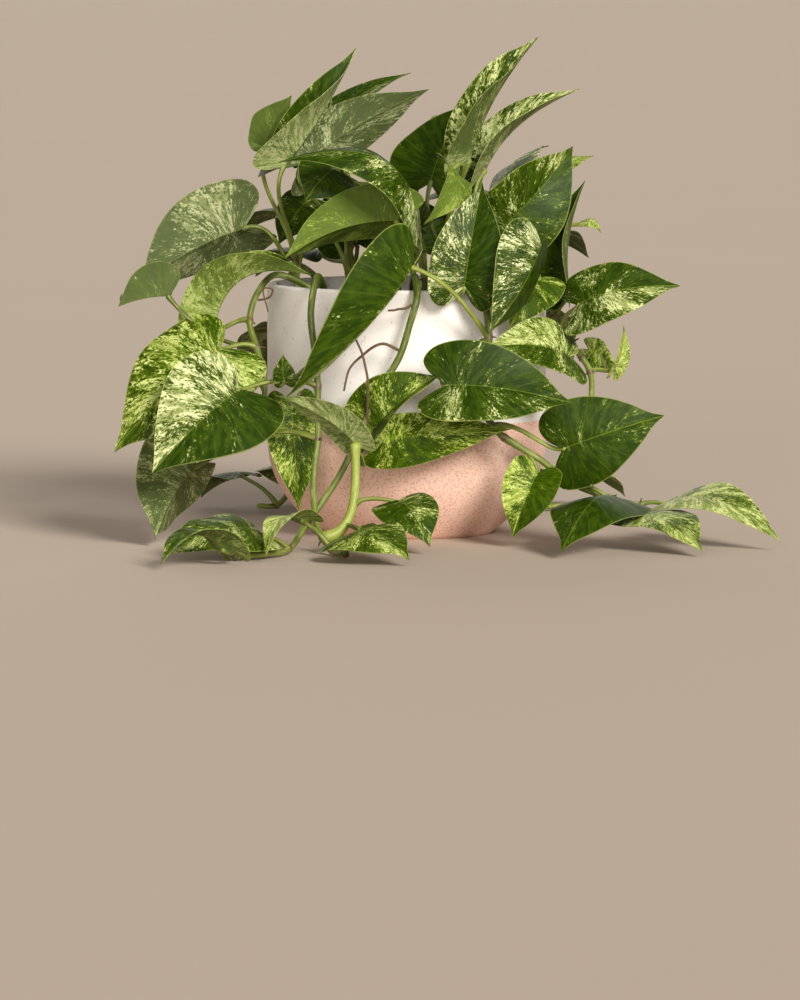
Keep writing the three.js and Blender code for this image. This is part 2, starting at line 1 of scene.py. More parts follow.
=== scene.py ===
"""The looks of a potted pothos with marbled leaves, in a round two-tone pot.

Blender's unit is the metre, with +Z up and -Y as the front. Plant sizes are written in
millimetres and turned into metres by MM, because that is how a plant is measured.
"""
import math
import random

import bpy
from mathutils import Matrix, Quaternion, Vector, noise


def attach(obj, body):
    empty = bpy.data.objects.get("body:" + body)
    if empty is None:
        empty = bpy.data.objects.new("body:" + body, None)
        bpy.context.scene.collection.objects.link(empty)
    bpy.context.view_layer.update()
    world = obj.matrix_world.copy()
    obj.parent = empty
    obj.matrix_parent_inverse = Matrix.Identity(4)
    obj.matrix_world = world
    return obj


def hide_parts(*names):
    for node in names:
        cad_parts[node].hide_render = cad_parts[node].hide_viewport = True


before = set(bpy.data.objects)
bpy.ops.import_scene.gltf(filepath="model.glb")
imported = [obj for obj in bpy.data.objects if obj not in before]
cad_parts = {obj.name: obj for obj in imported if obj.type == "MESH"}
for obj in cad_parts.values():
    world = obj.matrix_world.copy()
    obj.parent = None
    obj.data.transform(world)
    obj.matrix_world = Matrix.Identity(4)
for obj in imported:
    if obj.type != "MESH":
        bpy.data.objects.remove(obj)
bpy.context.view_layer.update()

# ---- Driving dimensions ----

MM = 0.001
SEED = 11

POT_RADIUS = 100 * MM
POT_HEIGHT = 179 * MM
POT_WALL = 7 * MM
POT_FLOOR = 9 * MM
POT_FOOT_RADIUS = 62 * MM
POT_BELLY_HEIGHT = 70 * MM
POT_BELLY_POWER = 2.3
RIM_ROUNDING = 2 * MM
POT_SIDES = 160
WALL_STEPS = 24  # in the curved part of the wall, and as many in the straight part
RIM_STEPS = 8
DIP_HEIGHT = 83 * MM  # the pink glaze reaches up to here
DIP_RAGGEDNESS = 1.5 * MM
DIP_SOFTNESS = 0.25 * MM

SOIL_TOP = POT_HEIGHT - 15 * MM
SOIL_DOME = 5 * MM
SOIL_SHOULDER = 4 * MM  # from the top of the soil down to its straight side
SOIL_LUMPS = ((14 * MM, 1.6 * MM), (4 * MM, 0.9 * MM))  # the size and the height of each kind
SOIL_LAYERS = (0, 7)  # the depth in the noise that each kind is taken from
SOIL_RINGS = 40
SOIL_SIDES = 128
CLEARANCE = 0.3 * MM

ROOTED_DEPTH = 38 * MM
UPRIGHT_LENGTH = 5 * MM
ROOT_POINTS = 3  # points of a stem's curve before its path
STEM_SIDES = 14
STEM_STEPS_PER_SPAN = 14
STEM_SWELL = 0.04  # at the root, in radii, as the other swells and tapers are
STEM_TAPER = 0.2
STEM_KNOBBLE = 0.05
KNOBBLES_PER_STEM = 30
JOINT_SWELL = 0.28
JOINT_WIDTH = 2.6 * MM  # half the length of the swelling where a leaf leaves the stem
NUB_LENGTH = 6 * MM  # the longest dry stub of a root at a joint
NUB_SHORTEST = 0.4  # of that length
NUB_RADIUS = 0.9 * MM
NUB_START = 0.6  # how far out in the stem it starts
NUB_TAPER = 0.6
NUB_DROOP = 0.1
NUB_STEPS = 5
NUB_SIDES = 7
AERIAL_ROOT_TAPER = 0.35
AERIAL_ROOT_WOBBLE = 0.5 * MM
AERIAL_ROOT_WOBBLES = 6
AERIAL_ROOT_STEPS_PER_SPAN = 12
AERIAL_ROOT_SIDES = 9

STALK_RADIUS = 1.7 * MM
STALK_RISE = 0.6
STALK_REACH = 0.38
STALK_SUNK = 2 * MM
STALK_TAPER = 0.12
STALK_STEPS = 26
STALK_SIDES = 12
STALK_GROOVE = 0.3
STALK_GROOVE_WIDTH = 0.6  # in radians
SHEATH_LENGTH = 0.16  # in lengths of the stalk
SHEATH_SWELL = 0.45
KNEE_LENGTH = 0.07
KNEE_SWELL = 0.35
TUBE_END = 0.7  # how far the rounded end of a tube stands out

DEFAULT_ARCH = 0.1
ARCH_LEAN = 0.4
CUP = 0.12
VEIN_CURVE = 1.3
SMALL_STEP = 0.01

# Half of a heart-shaped blade from the notch to the tip: along the midrib, across it in half
# widths, and where on the midrib the side vein starts.
BLADE_OUTLINE = [
    (0, 0, 0),
    (-0.115, 0.3, 0.01),
    (-0.15, 0.62, 0.03),
    (-0.06, 0.9, 0.06),
    (0.13, 1, 0.11),
    (0.34, 0.95, 0.19),
    (0.54, 0.75, 0.31),
    (0.73, 0.45, 0.47),
    (0.88, 0.16, 0.69),
    (1, 0, 1),
]
BLADE_ROWS = 36
BLADE_COLUMNS = (0, 0.03, 0.09, 0.2, 0.34, 0.5, 0.66, 0.81, 0.93, 1)  # from midrib to margin
BLADE_THICKNESS = 0.55 * MM
MARGIN_THICKNESS = 0.3 * MM
SIDE_VEINS = 9
QUILTING = 0.22 * MM  # how far the blade swells between its side veins
RIB_WIDTH = 1.1 * MM
RIB_GROOVE = 0.35 * MM
RIB_KEEL = 1.0 * MM
MARGIN_WAVE = 0.022  # in widths of the blade
MARGIN_WAVES = (2.2, 3.4)  # the fewest and the most along one side of a blade
BUCKLE = 0.03
BUCKLES = (2.2, 1.1)  # along a blade and across it
HALVES_MIX = 0.12  # how far from the midrib the creams of the two halves mix, in half widths
BLADE_SEEDS = 40  # how far apart the seeds of two blades are in the noise
STEM_SEEDS = 50

# What a leaf of the table looks like where the table doesn't say, and how corky a stem is.
USUAL_CREAM = (0.15, 0.6)
USUAL_TONE = (0.1, 0.8)
USUAL_PALE_STALK = (0.15, 0.8)
STEM_PALE_AT_ROOT = 0.08
STEM_PALER_AT_END = 0.55
OLD_CORK = 0.25  # at the root, gone at 1 / CORK_FADE of the stem
CORK_FADE = 1.3
JOINT_CORK = 0.75
SHEATH_CORK = 0.3

# ---- The vines ----
#
# root, path, at, base, tip, face, width, fold, twist, arch, bend, leave, arrive and start place
# the stem and its leaves. cream is how much of the two halves is cream, the half on the left of
# the midrib second when the leaf points up and faces the viewer. tone goes from silvery (0)
# to yellow green (1), fade adds cream to the tip, or to the base if it is negative, and
# pale_stalk goes from a dark leaf stalk (0) to a pale one (1).

VINES = {
    "vine_trailer_left": dict(
        radius=2.4, root=(-66, -30),
        path=[
            (-93, -42, 187), (-106, -54, 174), (-111, -64, 156), (-106, -78, 138), (-100, -88, 116),
            (-102, -94, 84),
        ],
        leaves=[
            dict(at=4, base=(-167, -70, 174), tip=(-202, -100, 168), face=(-0.1, 0.74, 0.66), width=54,
                 arch=0.05, fold=1, leave=(-1, 0.9, -0.1), arrive=(-0.6, 0, 0.8),
                 cream=(0.5, 0.2), tone=0.3),
            dict(at=3, base=(-137, -56, 150), tip=(-67, -80, 189), face=(-0.49, 0.17, 0.85), width=62,
                 arch=0.25, fold=0.95, cream=(0.45, 0.65), tone=0.7, fade=-0.5),
            dict(at=4, base=(-130, -90, 138), tip=(-205, -108, 66), face=(-0.3, -0.85, 0.4), width=84,
                 cream=(0.5, 0.48), tone=0.8),
            dict(at=6, base=(-81, -98, 98), tip=(-76, -102, 25), face=(0.1, -1, 0.1), width=40,
                 arch=0.06, fold=0.2, cream=(0.4, 0.45), tone=0.9),
        ],
        roots=[
            dict(radius=0.8, path=[
                (-105, -56, 170), (-97, -60, 172), (-95, -62, 178), (-101, -63, 178), (-98, -64, 162),
            ]),
        ],
    ),
    "vine_trailer_front_left": dict(
        radius=2.5, root=(-58, -54),
        path=[
            (-63, -90, 188), (-67, -112, 163), (-63, -118, 128), (-62, -122, 104), (-62, -126, 77),
            (-65, -134, 48), (-62, -150, 18), (-52, -172, 4), (-42, -200, 4),
        ],
        leaves=[
            dict(at=3, base=(-85, -128, 116), tip=(-86, -124, 136), face=(-0.4, -0.9, 0.2), width=18,
                 cream=(0.35, 0.35), tone=0.5),
            dict(at=3.6, base=(-117, -126, 112), tip=(-177, -156, 55), face=(-0.2, -0.95, 0.35), width=84,
                 arch=0.08, fold=0.1, twist=0.3, cream=(0.62, 0.2), tone=0.25),
            dict(at=5, base=(-148, -92, 56), tip=(-176, -118, 6), face=(-0.6, 0.7, 0.35), width=86,
                 arch=0.08, fold=0.5, cream=(0.5, 0.55), tone=0.2),
            dict(at=7.4, base=(-34, -140, 73), tip=(-90, -136, 108), face=(0.3, 0.75, 0.55), width=34,
                 fold=0.3, leave=(1, 0.1, 0.1), arrive=(0, 0.1, 1), stalk_radius=3.4, pale_stalk=1.2,
                 cream=(0.7, 0.7), tone=0.4),
            dict(at=7.4, start=(-36, -148, 33), base=(-5, -146, 36), tip=(16, -172, 6),
                 face=(0.25, -0.8, 0.5), width=46, arch=0.14, leave=(0.4, -0.4, 0.6),
                 cream=(0.35, 0.4), tone=0.5),
            dict(at=7.4, start=(-44, -154, 19), base=(-32, -162, 18), tip=(-22, -192, 5),
                 face=(0.2, -0.5, 0.8), width=20, fold=0.5, cream=(0.5, 0.3), tone=0.8),
            dict(at=8, base=(-72, -180, 26), tip=(-96, -226, 5), face=(-0.5, -0.5, 0.7), width=28,
                 arch=0.2, fold=0.3, cream=(0.7, 0.7), tone=0.7),
            dict(at=9, base=(-40, -206, 18), tip=(2, -250, 5), face=(0.1, -0.45, 0.88), width=60,
                 arch=0.12, cream=(0.5, 0.45), tone=0.8),
        ],
    ),
    "vine_trailer_front": dict(
        radius=2.6, root=(4, -60),
        path=[
            (6, -90, 188), (7, -112, 174), (2, -115, 156), (-5, -117, 134), (-17, -118, 114),
            (-31, -118, 84), (-47, -122, 51), (-70, -138, 18), (-82, -168, 4), (-97, -200, 4),
            (-117, -212, 4),
        ],
        leaves=[
            dict(at=5.6, base=(-23, -119, 82), tip=(24, -130, 122), face=(-0.47, -0.67, 0.56), width=62,
                 arch=0.08, fold=0.7, cream=(0.4, 0.4), tone=0.9),
            dict(at=6, base=(-20, -130, 75), tip=(73, -128, 84), face=(0.05, -0.9, 0.3), width=40,
                 fold=-0.3, cream=(0.45, 0.55), tone=1),
            dict(at=9, base=(-106, -184, 20), tip=(-164, -218, 5), face=(-0.05, -0.4, 0.9), width=64,
                 cream=(0.45, 0.45), tone=0.6),
            dict(at=11, base=(-124, -244, 12), tip=(-166, -280, 5), face=(-0.35, -0.2, 0.9), width=40,
                 arch=0.25, fold=0.35, cream=(0.35, 0.4), tone=0.6),
        ],
        roots=[
            dict(radius=1.1, path=[(5, -112, 170), (-1, -118, 168), (-13, -119, 166)]),
            dict(radius=1.1, path=[(-28, -118, 86), (-27, -125, 113), (-31, -122, 136), (-38, -117, 151)]),
            dict(radius=1.1, path=[
                (-4, -117, 138), (-18, -120, 143), (-31, -117, 135), (-40, -117, 125), (-44, -118, 110),
            ]),
        ],
    ),
    "vine_trailer_front_right": dict(
        radius=2.6, root=(50, -50),
        path=[
            (52, -84, 188), (56, -102, 165), (57, -108, 145), (51, -112, 118), (60, -114, 85),
            (94, -112, 61), (116, -102, 44), (145, -94, 32), (164, -90, 27),
        ],
        leaves=[
            dict(at=2.9, base=(5, -138, 199), tip=(-83, -158, 109), face=(0.58, -0.6, -0.56), width=70,
                 arch=0.06, fold=-0.5, leave=(-0.5, -0.5, 0.7), arrive=(-0.8, -0.2, 0.3),
                 cream=(0.12, 0.75), tone=0.4),
            dict(at=3, base=(27, -144, 116), tip=(115, -138, 103), face=(0.05, -0.91, 0.42), width=66,
                 fold=0.4, cream=(0.35, 0.22), tone=0.3),
            dict(at=5, base=(109, -114, 69), tip=(180, -120, 93), face=(0.05, -0.95, 0.25), width=64,
                 arch=0.08, fold=0.15, twist=-0.5, cream=(0.15, 0.25), tone=0.5),
            dict(at=5.3, base=(91, -118, 52), tip=(74, -124, 8), face=(-0.2, -0.95, 0.1), width=42,
                 fold=0.35, cream=(0.5, 0.1), tone=0.95),
            dict(at=7, base=(143, -110, 36), tip=(106, -206, 6), face=(-0.15, -0.55, 0.82), width=66,
                 fold=-0.15, cream=(0.15, 0.12), tone=0.4),
            dict(at=8, base=(160, -106, 22), tip=(204, -188, 5), face=(0.15, -0.5, 0.85), width=58,
                 cream=(0.6, 0.5), tone=0.7),
            dict(at=9, base=(188, -84, 30), tip=(260, -146, 7), face=(0.15, -0.5, 0.85), width=50,
                 arch=0.14, fold=0.15, cream=(0.75, 0.65), tone=0.6),
        ],
    ),
    "vine_trailer_right": dict(
        radius=2.4, root=(70, -24),
        path=[(92, -30, 188), (106, -38, 158), (117, -52, 139), (130, -60, 119), (131, -62, 100)],
        leaves=[
            dict(at=2, base=(115, -46, 178), tip=(127, -25, 253), face=(-0.83, -0.53, 0.17), width=49,
                 arch=0.08, fold=0.79, cream=(0.35, 0.12), tone=0.4),
            dict(at=2.4, base=(120, -82, 168), tip=(192, -92, 182), face=(0.15, -0.8, 0.6), width=52,
                 arch=0.12, fold=0.15, cream=(0.55, 0.3), tone=0.35),
            dict(at=3, base=(115, -92, 132), tip=(54, -118, 140), face=(0.05, -0.7, 0.7), width=54,
                 arch=0.12, fold=0.2, cream=(0.6, 0.35), tone=0.6),
            dict(at=4, base=(147, -50, 119), tip=(154, -48, 151), face=(0.6, -0.6, 0.3), width=16,
                 fold=0.6, cream=(0.7, 0.7), tone=0.8),
            dict(at=3.5, base=(130, -30, 133), tip=(152, -20, 115), face=(0.3, -0.6, 0.6), width=30,
                 cream=(0.55, 0.55), tone=0.9),
        ],
    ),
    "vine_crown_left": dict(
        radius=2.3, root=(-78, -8),
        path=[(-79, -8, 182), (-80, -6, 196)],
        leaves=[
            dict(at=2, base=(-88, -34, 263), tip=(-36, -6, 347), face=(-0.79, -0.36, 0.49), width=62,
                 arch=-0.04, fold=0.82, twist=1, bend=0.1, cream=(0.7, 0.3), tone=0.35),
            dict(at=1, base=(-70, 20, 238), tip=(-92, 10, 206), face=(-0.3, -0.8, 0.5), width=40,
                 bend=0.2, cream=(0.2, 0.25), tone=0.3),
            dict(at=1, base=(-115, -30, 220), tip=(-190, -56, 180), face=(-0.2, 0.9, 0.37), width=80,
                 fold=0.6, bend=0.1, cream=(0.5, 0.5), tone=0.1),
            dict(at=2, base=(-103, 30, 273), tip=(-83, 44, 312), face=(-0.5, 0.8, 0.3), width=44,
                 bend=0.2, cream=(0.2, 0.15), tone=0.7),
        ],
    ),
    "vine_crown_left_back": dict(
        radius=2.3, root=(-40, 10),
        path=[(-42, 12, 185), (-40, 14, 205)],
        leaves=[
            dict(at=2, base=(-64, 40, 283), tip=(3, 54, 328), face=(-0.3, -0.5, 0.8), width=32,
                 fold=0.3, bend=0.2, cream=(0.25, 0.3), tone=0.2),
            dict(at=2, base=(-74, 0, 264), tip=(16, -14, 318), face=(-0.17, 0.94, 0.29), width=48,
                 fold=0.3, bend=0.2, cream=(0.45, 0.45), tone=0.1),
            dict(at=1, base=(-52, -46, 262), tip=(-72, -62, 240), face=(-0.2, -0.9, 0.2), width=46,
                 arch=0.15, cream=(0.15, 0.15), tone=0.4),
            dict(at=1, base=(-74, 24, 264), tip=(-43, 28, 301), face=(-0.4, -0.8, 0.4), width=26,
                 cream=(0.4, 0.4), tone=0.3),
        ],
    ),
    "vine_crown_front": dict(
        radius=2.4, root=(12, -38),
        path=[(13, -40, 184), (12, -40, 204)],
        leaves=[
            dict(at=2, base=(8, -62, 238), tip=(-90, -84, 268), face=(0.2, -0.5, 0.84), width=50,
                 arch=0.26, fold=-0.3, arrive=(-0.1, 0, 1), cream=(0.2, 0.35), tone=0.3, fade=-0.4),
            dict(at=1, base=(-6, -66, 227), tip=(-86, -92, 201), face=(-0.26, 0.82, 0.49), width=56,
                 arch=0.14, fold=0.61, arrive=(-0.6, 0, 0.6), cream=(0.35, 0.3), tone=0.95),
            dict(at=2, base=(7, -36, 221), tip=(-39, -20, 253), face=(-0.5, 0.65, 0.55), width=36,
                 arch=0.12, fold=0.2, bend=0.3, cream=(0.3, 0.3), tone=0.5),
        ],
    ),
    "vine_crown_middle": dict(
        radius=2.4, root=(26, -8),
        path=[(27, -8, 186), (28, -8, 212)],
        leaves=[
            dict(at=1, base=(17, 31, 249), tip=(46, 59, 307), face=(-0.35, -0.85, 0.3), width=74,
                 bend=0.2, cream=(0.1, 0.12), tone=0.4),
            dict(at=2, base=(44, -30, 266), tip=(94, -4, 355), face=(-0.81, -0.38, 0.45), width=68,
                 arch=0.06, fold=0.66, twist=0.9, bend=0.1, cream=(0.45, 0.5), tone=0.45),
            dict(at=2, base=(32, -60, 263), tip=(12, -90, 225), face=(-0.75, 0.3, -0.5), width=28,
                 arch=-0.3, bend=0.4, cream=(0.55, 0.35), tone=1),
        ],
    ),
    "vine_crown_right": dict(
        radius=2.4, root=(44, -14),
        path=[(46, -16, 186), (50, -14, 206)],
        leaves=[
            dict(at=2, base=(55, 2, 258), tip=(124, 24, 317), face=(-0.61, -0.31, 0.73), width=58,
                 arch=0.1, fold=0.6, twist=0.4, bend=0.1, cream=(0.7, 0.5), tone=0.4),
            dict(at=2, base=(64, -58, 219), tip=(118, -36, 278), face=(0.21, -0.96, -0.19), width=68,
                 fold=0.45, bend=0.3, cream=(0.2, 0.42), tone=0.5, fade=-0.3),
            dict(at=1, base=(108, 18, 258), tip=(135, 26, 269), face=(0.1, -0.4, 0.9), width=16,
                 bend=0.3, cream=(0.6, 0.6), tone=0.8),
        ],
    ),
    "vine_crown_right_front": dict(
        radius=2.4, root=(38, -66),
        path=[(38, -68, 184), (40, -70, 200)],
        leaves=[
            dict(at=1, base=(40, -108, 180), tip=(53, -92, 255), face=(-0.12, -0.95, 0.2), width=56,
                 arch=0.06, fold=0.4, bend=0.2, cream=(0.15, 0.5), tone=0.15),
            dict(at=1, base=(94, -106, 213), tip=(56, -132, 150), face=(0.53, -0.79, -0.31), width=56,
                 arch=0.08, fold=-0.4, leave=(0.1, -0.3, 1), arrive=(0.6, -0.5, 0.3),
                 cream=(0.5, 0.12), tone=0.1),
            dict(at=1, base=(68, -30, 207), tip=(91, -16, 239), face=(-0.2, -0.85, 0.4), width=40,
                 cream=(0.3, 0.3), tone=0.4),
        ],
    ),
    "vine_crown_right_side": dict(
        radius=2.4, root=(72, 12),
        path=[(74, 12, 186), (77, 10, 206)],
        leaves=[
            dict(at=1, base=(95, -75, 187), tip=(72, -92, 152), face=(-0.15, -0.9, 0.35), width=40,
                 leave=(0, -1, 0.4), arrive=(0.5, -0.85, 0), cream=(0.45, 0.35), tone=0.9),
            dict(at=2, base=(128, 14, 222), tip=(140, 14, 214), face=(0.3, -0.5, 0.8), width=13,
                 arch=0.25, cream=(0.7, 0.7), tone=0.8),
        ],
    ),
    "vine_back_crown_left": dict(
        radius=2.3, root=(-36, 42),
        path=[(-38, 44, 184), (-42, 48, 206)],
        leaves=[
            dict(at=1, base=(-78, 62, 228), tip=(-132, 96, 206), face=(-0.4, 0.35, 0.8), width=62,
                 arch=0.12),
            dict(at=2, base=(-44, 64, 258), tip=(-58, 98, 312), face=(-0.3, 0.6, 0.5), width=52,
                 bend=0.2),
            dict(at=2, base=(-26, 92, 226), tip=(-44, 158, 194), face=(-0.1, 0.7, 0.7), width=64,
                 arch=0.12),
            dict(at=1, base=(-62, 88, 196), tip=(-112, 136, 176), face=(-0.4, 0.5, 0.75), width=58,
                 arch=0.14),
            dict(at=1, base=(-36, 26, 206), tip=(-48, 36, 260), face=(-0.1, -0.9, 0.3), width=58,
                 cream=(0.1, 0.1), tone=0.3),
        ],
    ),
    "vine_back_crown_middle": dict(
        radius=2.3, root=(4, 52),
        path=[(5, 55, 186), (6, 60, 214)],
        leaves=[
            dict(at=2, base=(8, 70, 256), tip=(22, 118, 296), face=(0, 0.6, 0.6), width=58, bend=0.15),
            dict(at=1, base=(2, 106, 232), tip=(-4, 172, 204), face=(0.1, 0.65, 0.75), width=66,
                 arch=0.12),
            dict(at=2, base=(34, 84, 240), tip=(70, 132, 226), face=(0.3, 0.4, 0.85), width=50,
                 arch=0.12),
            dict(at=1, base=(10, 40, 200), tip=(-2, 50, 244), face=(0.1, -0.9, 0.3), width=56,
                 cream=(0.12, 0.1), tone=0.4),
        ],
    ),
    "vine_back_crown_right": dict(
        radius=2.3, root=(48, 40),
        path=[(50, 42, 184), (54, 46, 208)],
        leaves=[
            dict(at=2, base=(70, 52, 250), tip=(104, 92, 274), face=(0.1, 0.5, 0.85), width=48, bend=0.2),
            dict(at=1, base=(88, 66, 216), tip=(134, 98, 192), face=(0.45, 0.4, 0.8), width=58,
                 arch=0.12),
            dict(at=1, base=(58, 98, 208), tip=(80, 164, 184), face=(0.25, 0.65, 0.7), width=56,
                 arch=0.12),
            dict(at=1, base=(56, 22, 200), tip=(68, 30, 246), face=(0, -0.9, 0.3), width=50,
                 cream=(0.1, 0.1), tone=0.3),
        ],
    ),
    "vine_trailer_back_left": dict(
        radius=2.4, root=(-60, 36),
        path=[
            (-80, 58, 188), (-88, 72, 158), (-84, 84, 112), (-80, 96, 66), (-84, 112, 26), (-96, 136, 6),
            (-110, 152, 4),
        ],
        leaves=[
            dict(at=1.7, base=(-98, 104, 142), tip=(-106, 138, 88), face=(-0.4, 0.8, 0.4), width=52,
                 arch=0.12),
            dict(at=2.5, base=(-58, 122, 118), tip=(-56, 150, 52), face=(-0.2, 0.92, 0.25), width=58),
            dict(at=5, base=(-88, 168, 34), tip=(-90, 216, 8), face=(-0.1, 0.6, 0.8), width=50,
                 arch=0.12),
            dict(at=6, base=(-124, 156, 28), tip=(-154, 184, 7), face=(-0.3, 0.3, 0.85), width=42,
                 arch=0.14),
        ],
    ),
    "vine_trailer_back_right": dict(
        radius=2.4, root=(56, 58),
        path=[
            (72, 72, 188), (80, 84, 156), (78, 94, 108), (78, 106, 60), (86, 126, 22), (100, 146, 5),
            (118, 156, 4),
        ],
        leaves=[
            dict(at=1.7, base=(96, 102, 154), tip=(114, 134, 104), face=(0.4, 0.75, 0.5), width=52,
                 arch=0.12),
            dict(at=2.5, base=(62, 134, 122), tip=(64, 160, 58), face=(0.2, 0.93, 0.25), width=56),
            dict(at=5, base=(92, 178, 34), tip=(96, 228, 7), face=(0.2, 0.6, 0.8), width=52, arch=0.12),
            dict(at=6, base=(132, 160, 30), tip=(164, 182, 8), face=(0.4, 0.2, 0.85), width=44,
                 arch=0.14),
        ],
    ),
    "vine_trailer_back": dict(
        radius=2.4, root=(-6, 70),
        path=[(-6, 94, 191), (-4, 110, 164), (0, 113, 116), (4, 118, 72), (2, 130, 28), (-8, 152, 4)],
        leaves=[
            dict(at=1.7, base=(28, 134, 158), tip=(46, 156, 98), face=(0.2, 0.92, 0.3), width=54,
                 arch=0.12),
            dict(at=2.5, base=(-34, 138, 136), tip=(-44, 162, 76), face=(-0.2, 0.92, 0.3), width=54,
                 arch=0.12),
            dict(at=4, base=(30, 160, 66), tip=(36, 206, 14), face=(0.2, 0.7, 0.65), width=56, arch=0.12),
            dict(at=5, base=(-36, 176, 36), tip=(-60, 226, 8), face=(-0.2, 0.6, 0.8), width=50,
                 arch=0.12),
        ],
    ),
}

# ---- Curves ----


def metres(point):
    return Vector(point) * MM


def level_circle(radius, height, sides):
    """Points round the pot's axis, at one height."""
    turn = [2 * math.pi * i / sides for i in range(sides)]
    return [Vector((radius * math.cos(a), radius * math.sin(a), height)) for a in turn]


def through_points(points, share):
    """The point at a share (0 to 1) of a smooth curve through the points, centripetal."""
    spans = len(points) - 1
    span = min(int(share * spans), spans - 1)
    t = share * spans - span
    before = points[span - 1] if span > 0 else points[0] * 2 - points[1]
    after = points[span + 2] if span + 2 <= spans else points[spans] * 2 - points[spans - 1]
    near, far = points[span], points[span + 1]
    first = (near - before).length ** 0.5
    middle = (far - near).length ** 0.5
    last = (after - far).length ** 0.5
    leave = ((near - before) / first - (far - before) / (first + middle) + (far - near) / middle) * middle
    arrive = ((far - near) / middle - (after - near) / (middle + last) + (after - far) / last) * middle
    curved = near * 2 - far * 2 + leave + arrive
    bent = far * 3 - near * 3 - leave * 2 - arrive
    return near + leave * t + bent * t ** 2 + curved * t ** 3


def stem_points(vine):
    """The points of a stem's curve: its roots in the soil, a short upright length and its path."""
    x, y = vine["root"]
    top = SOIL_TOP + SOIL_DOME
    heights = (SOIL_TOP - ROOTED_DEPTH, top, top + UPRIGHT_LENGTH)
    return [Vector((x * MM, y * MM, height)) for height in heights] + [metres(p) for p in vine["path"]]


def blade_axes(leaf):
    """The blade's base, its length and its forward, face and sideways directions."""
    base = metres(leaf["base"])
    chord = metres(leaf["tip"]) - base
    forward = chord.normalized()
    face = Vector(leaf["face"])
    face = (face - forward * face.dot(forward)).normalized()
    return base, chord.length, forward, face, face.cross(forward)


def joint_share(leaf, stem_line):
    """How far along its stem a leaf sits, from 0 to 1."""
    return (leaf["at"] + ROOT_POINTS - 1) / (len(stem_line) - 1)


def stalk_points(leaf, stem_line):
    """The four points of the Bezier curve that a leaf stalk follows."""
    base, _, forward, face, _ = blade_axes(leaf)
    joint = through_points(stem_line, joint_share(leaf, stem_line))
    start = metres(leaf["start"]) if "start" in leaf else joint
    end = base + forward * STALK_SUNK
    reach = (end - start).length * STALK_REACH
    bend = leaf.get("bend", 0.5)
    leave = Vector(leaf.get("leave", (end - start).normalized() + Vector((0, 0, STALK_RISE))))
    arrive = Vector(leaf.get("arrive", forward * (1 - bend) + face * bend))
    return start, start + leave.normalized() * reach, end - arrive.normalized() * reach, end


def bezier(points, t):
    a, b, c, d = points
    s = 1 - t
    return a * s ** 3 + b * (3 * s * s * t) + c * (3 * s * t * t) + d * t ** 3


# ---- Meshes ----


class Form:
    """A mesh being put together, with what its materials read at each point."""

    def __init__(self):
        self.points = []
        self.looks = []
        self.places = []
        self.ribs = []
        self.faces = []
        self.slots = []
        self.sharp = []

    def point(self, position, look=(0, 0, 0, 0), place=(0, 0), rib=0):
        """Adds a point and gives its number."""
        self.points.append(position)
        self.looks.append(look)
        self.places.append(place)
        self.ribs.append(rib)
        return len(self.points) - 1

    def face(self, corners, slot=0):
        self.faces.append(corners)
        self.slots.append(slot)

    def piece(self, name, materials):
        """The finished object, smooth but for its sharp edges."""
        mesh = bpy.data.meshes.new(name)
        mesh.from_pydata(self.points, [], self.faces)
        for material in materials:
            mesh.materials.append(material)
        mesh.polygons.foreach_set("material_index", self.slots)
        mesh.polygons.foreach_set("use_smooth", [True] * len(self.faces))
        look = mesh.color_attributes.new("look", "FLOAT_COLOR", "POINT")
        look.data.foreach_set("color", [value for four in self.looks for value in four])
        rib = mesh.attributes.new("rib", "FLOAT", "POINT")
        rib.data.foreach_set("value", self.ribs)
        place = mesh.uv_layers.new(name="place")
        corners = [self.places[loop.vertex_index] for loop in mesh.loops]
        place.data.foreach_set("uv", [value for pair in corners for value in pair])
        sharp = set(self.sharp)
        for edge in mesh.edges:
            if tuple(sorted(edge.vertices)) in sharp:
                edge.use_edge_sharp = True
        made = bpy.data.objects.new(name, mesh)
        bpy.context.scene.collection.objects.link(made)
        return made


def settle(piece, node_name):
    """Gives a piece its body and hides the imported part of the node that it stands for."""
    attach(piece, "root")
    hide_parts(node_name)


def join_rings(form, rings, slot=0):
    """The faces between each ring and the next. A ring can be one point, listed for every side."""
    for near, far in zip(rings, rings[1:]):
        for i in range(len(near)):
            j = (i + 1) % len(near)
            form.face(list(dict.fromkeys([near[i], near[j], far[j], far[i]])), slot)


def lathe(form, profile, sides):
    """A closed turned form. The profile holds (radius, height) pairs and starts and ends on the axis."""
    rings = []
    for radius, height in profile:
        if radius == 0:
            rings.append([form.point(Vector((0, 0, height)))] * sides)
        else:
            rings.append([form.point(p) for p in level_circle(radius, height, sides)])
    join_rings(form, rings)


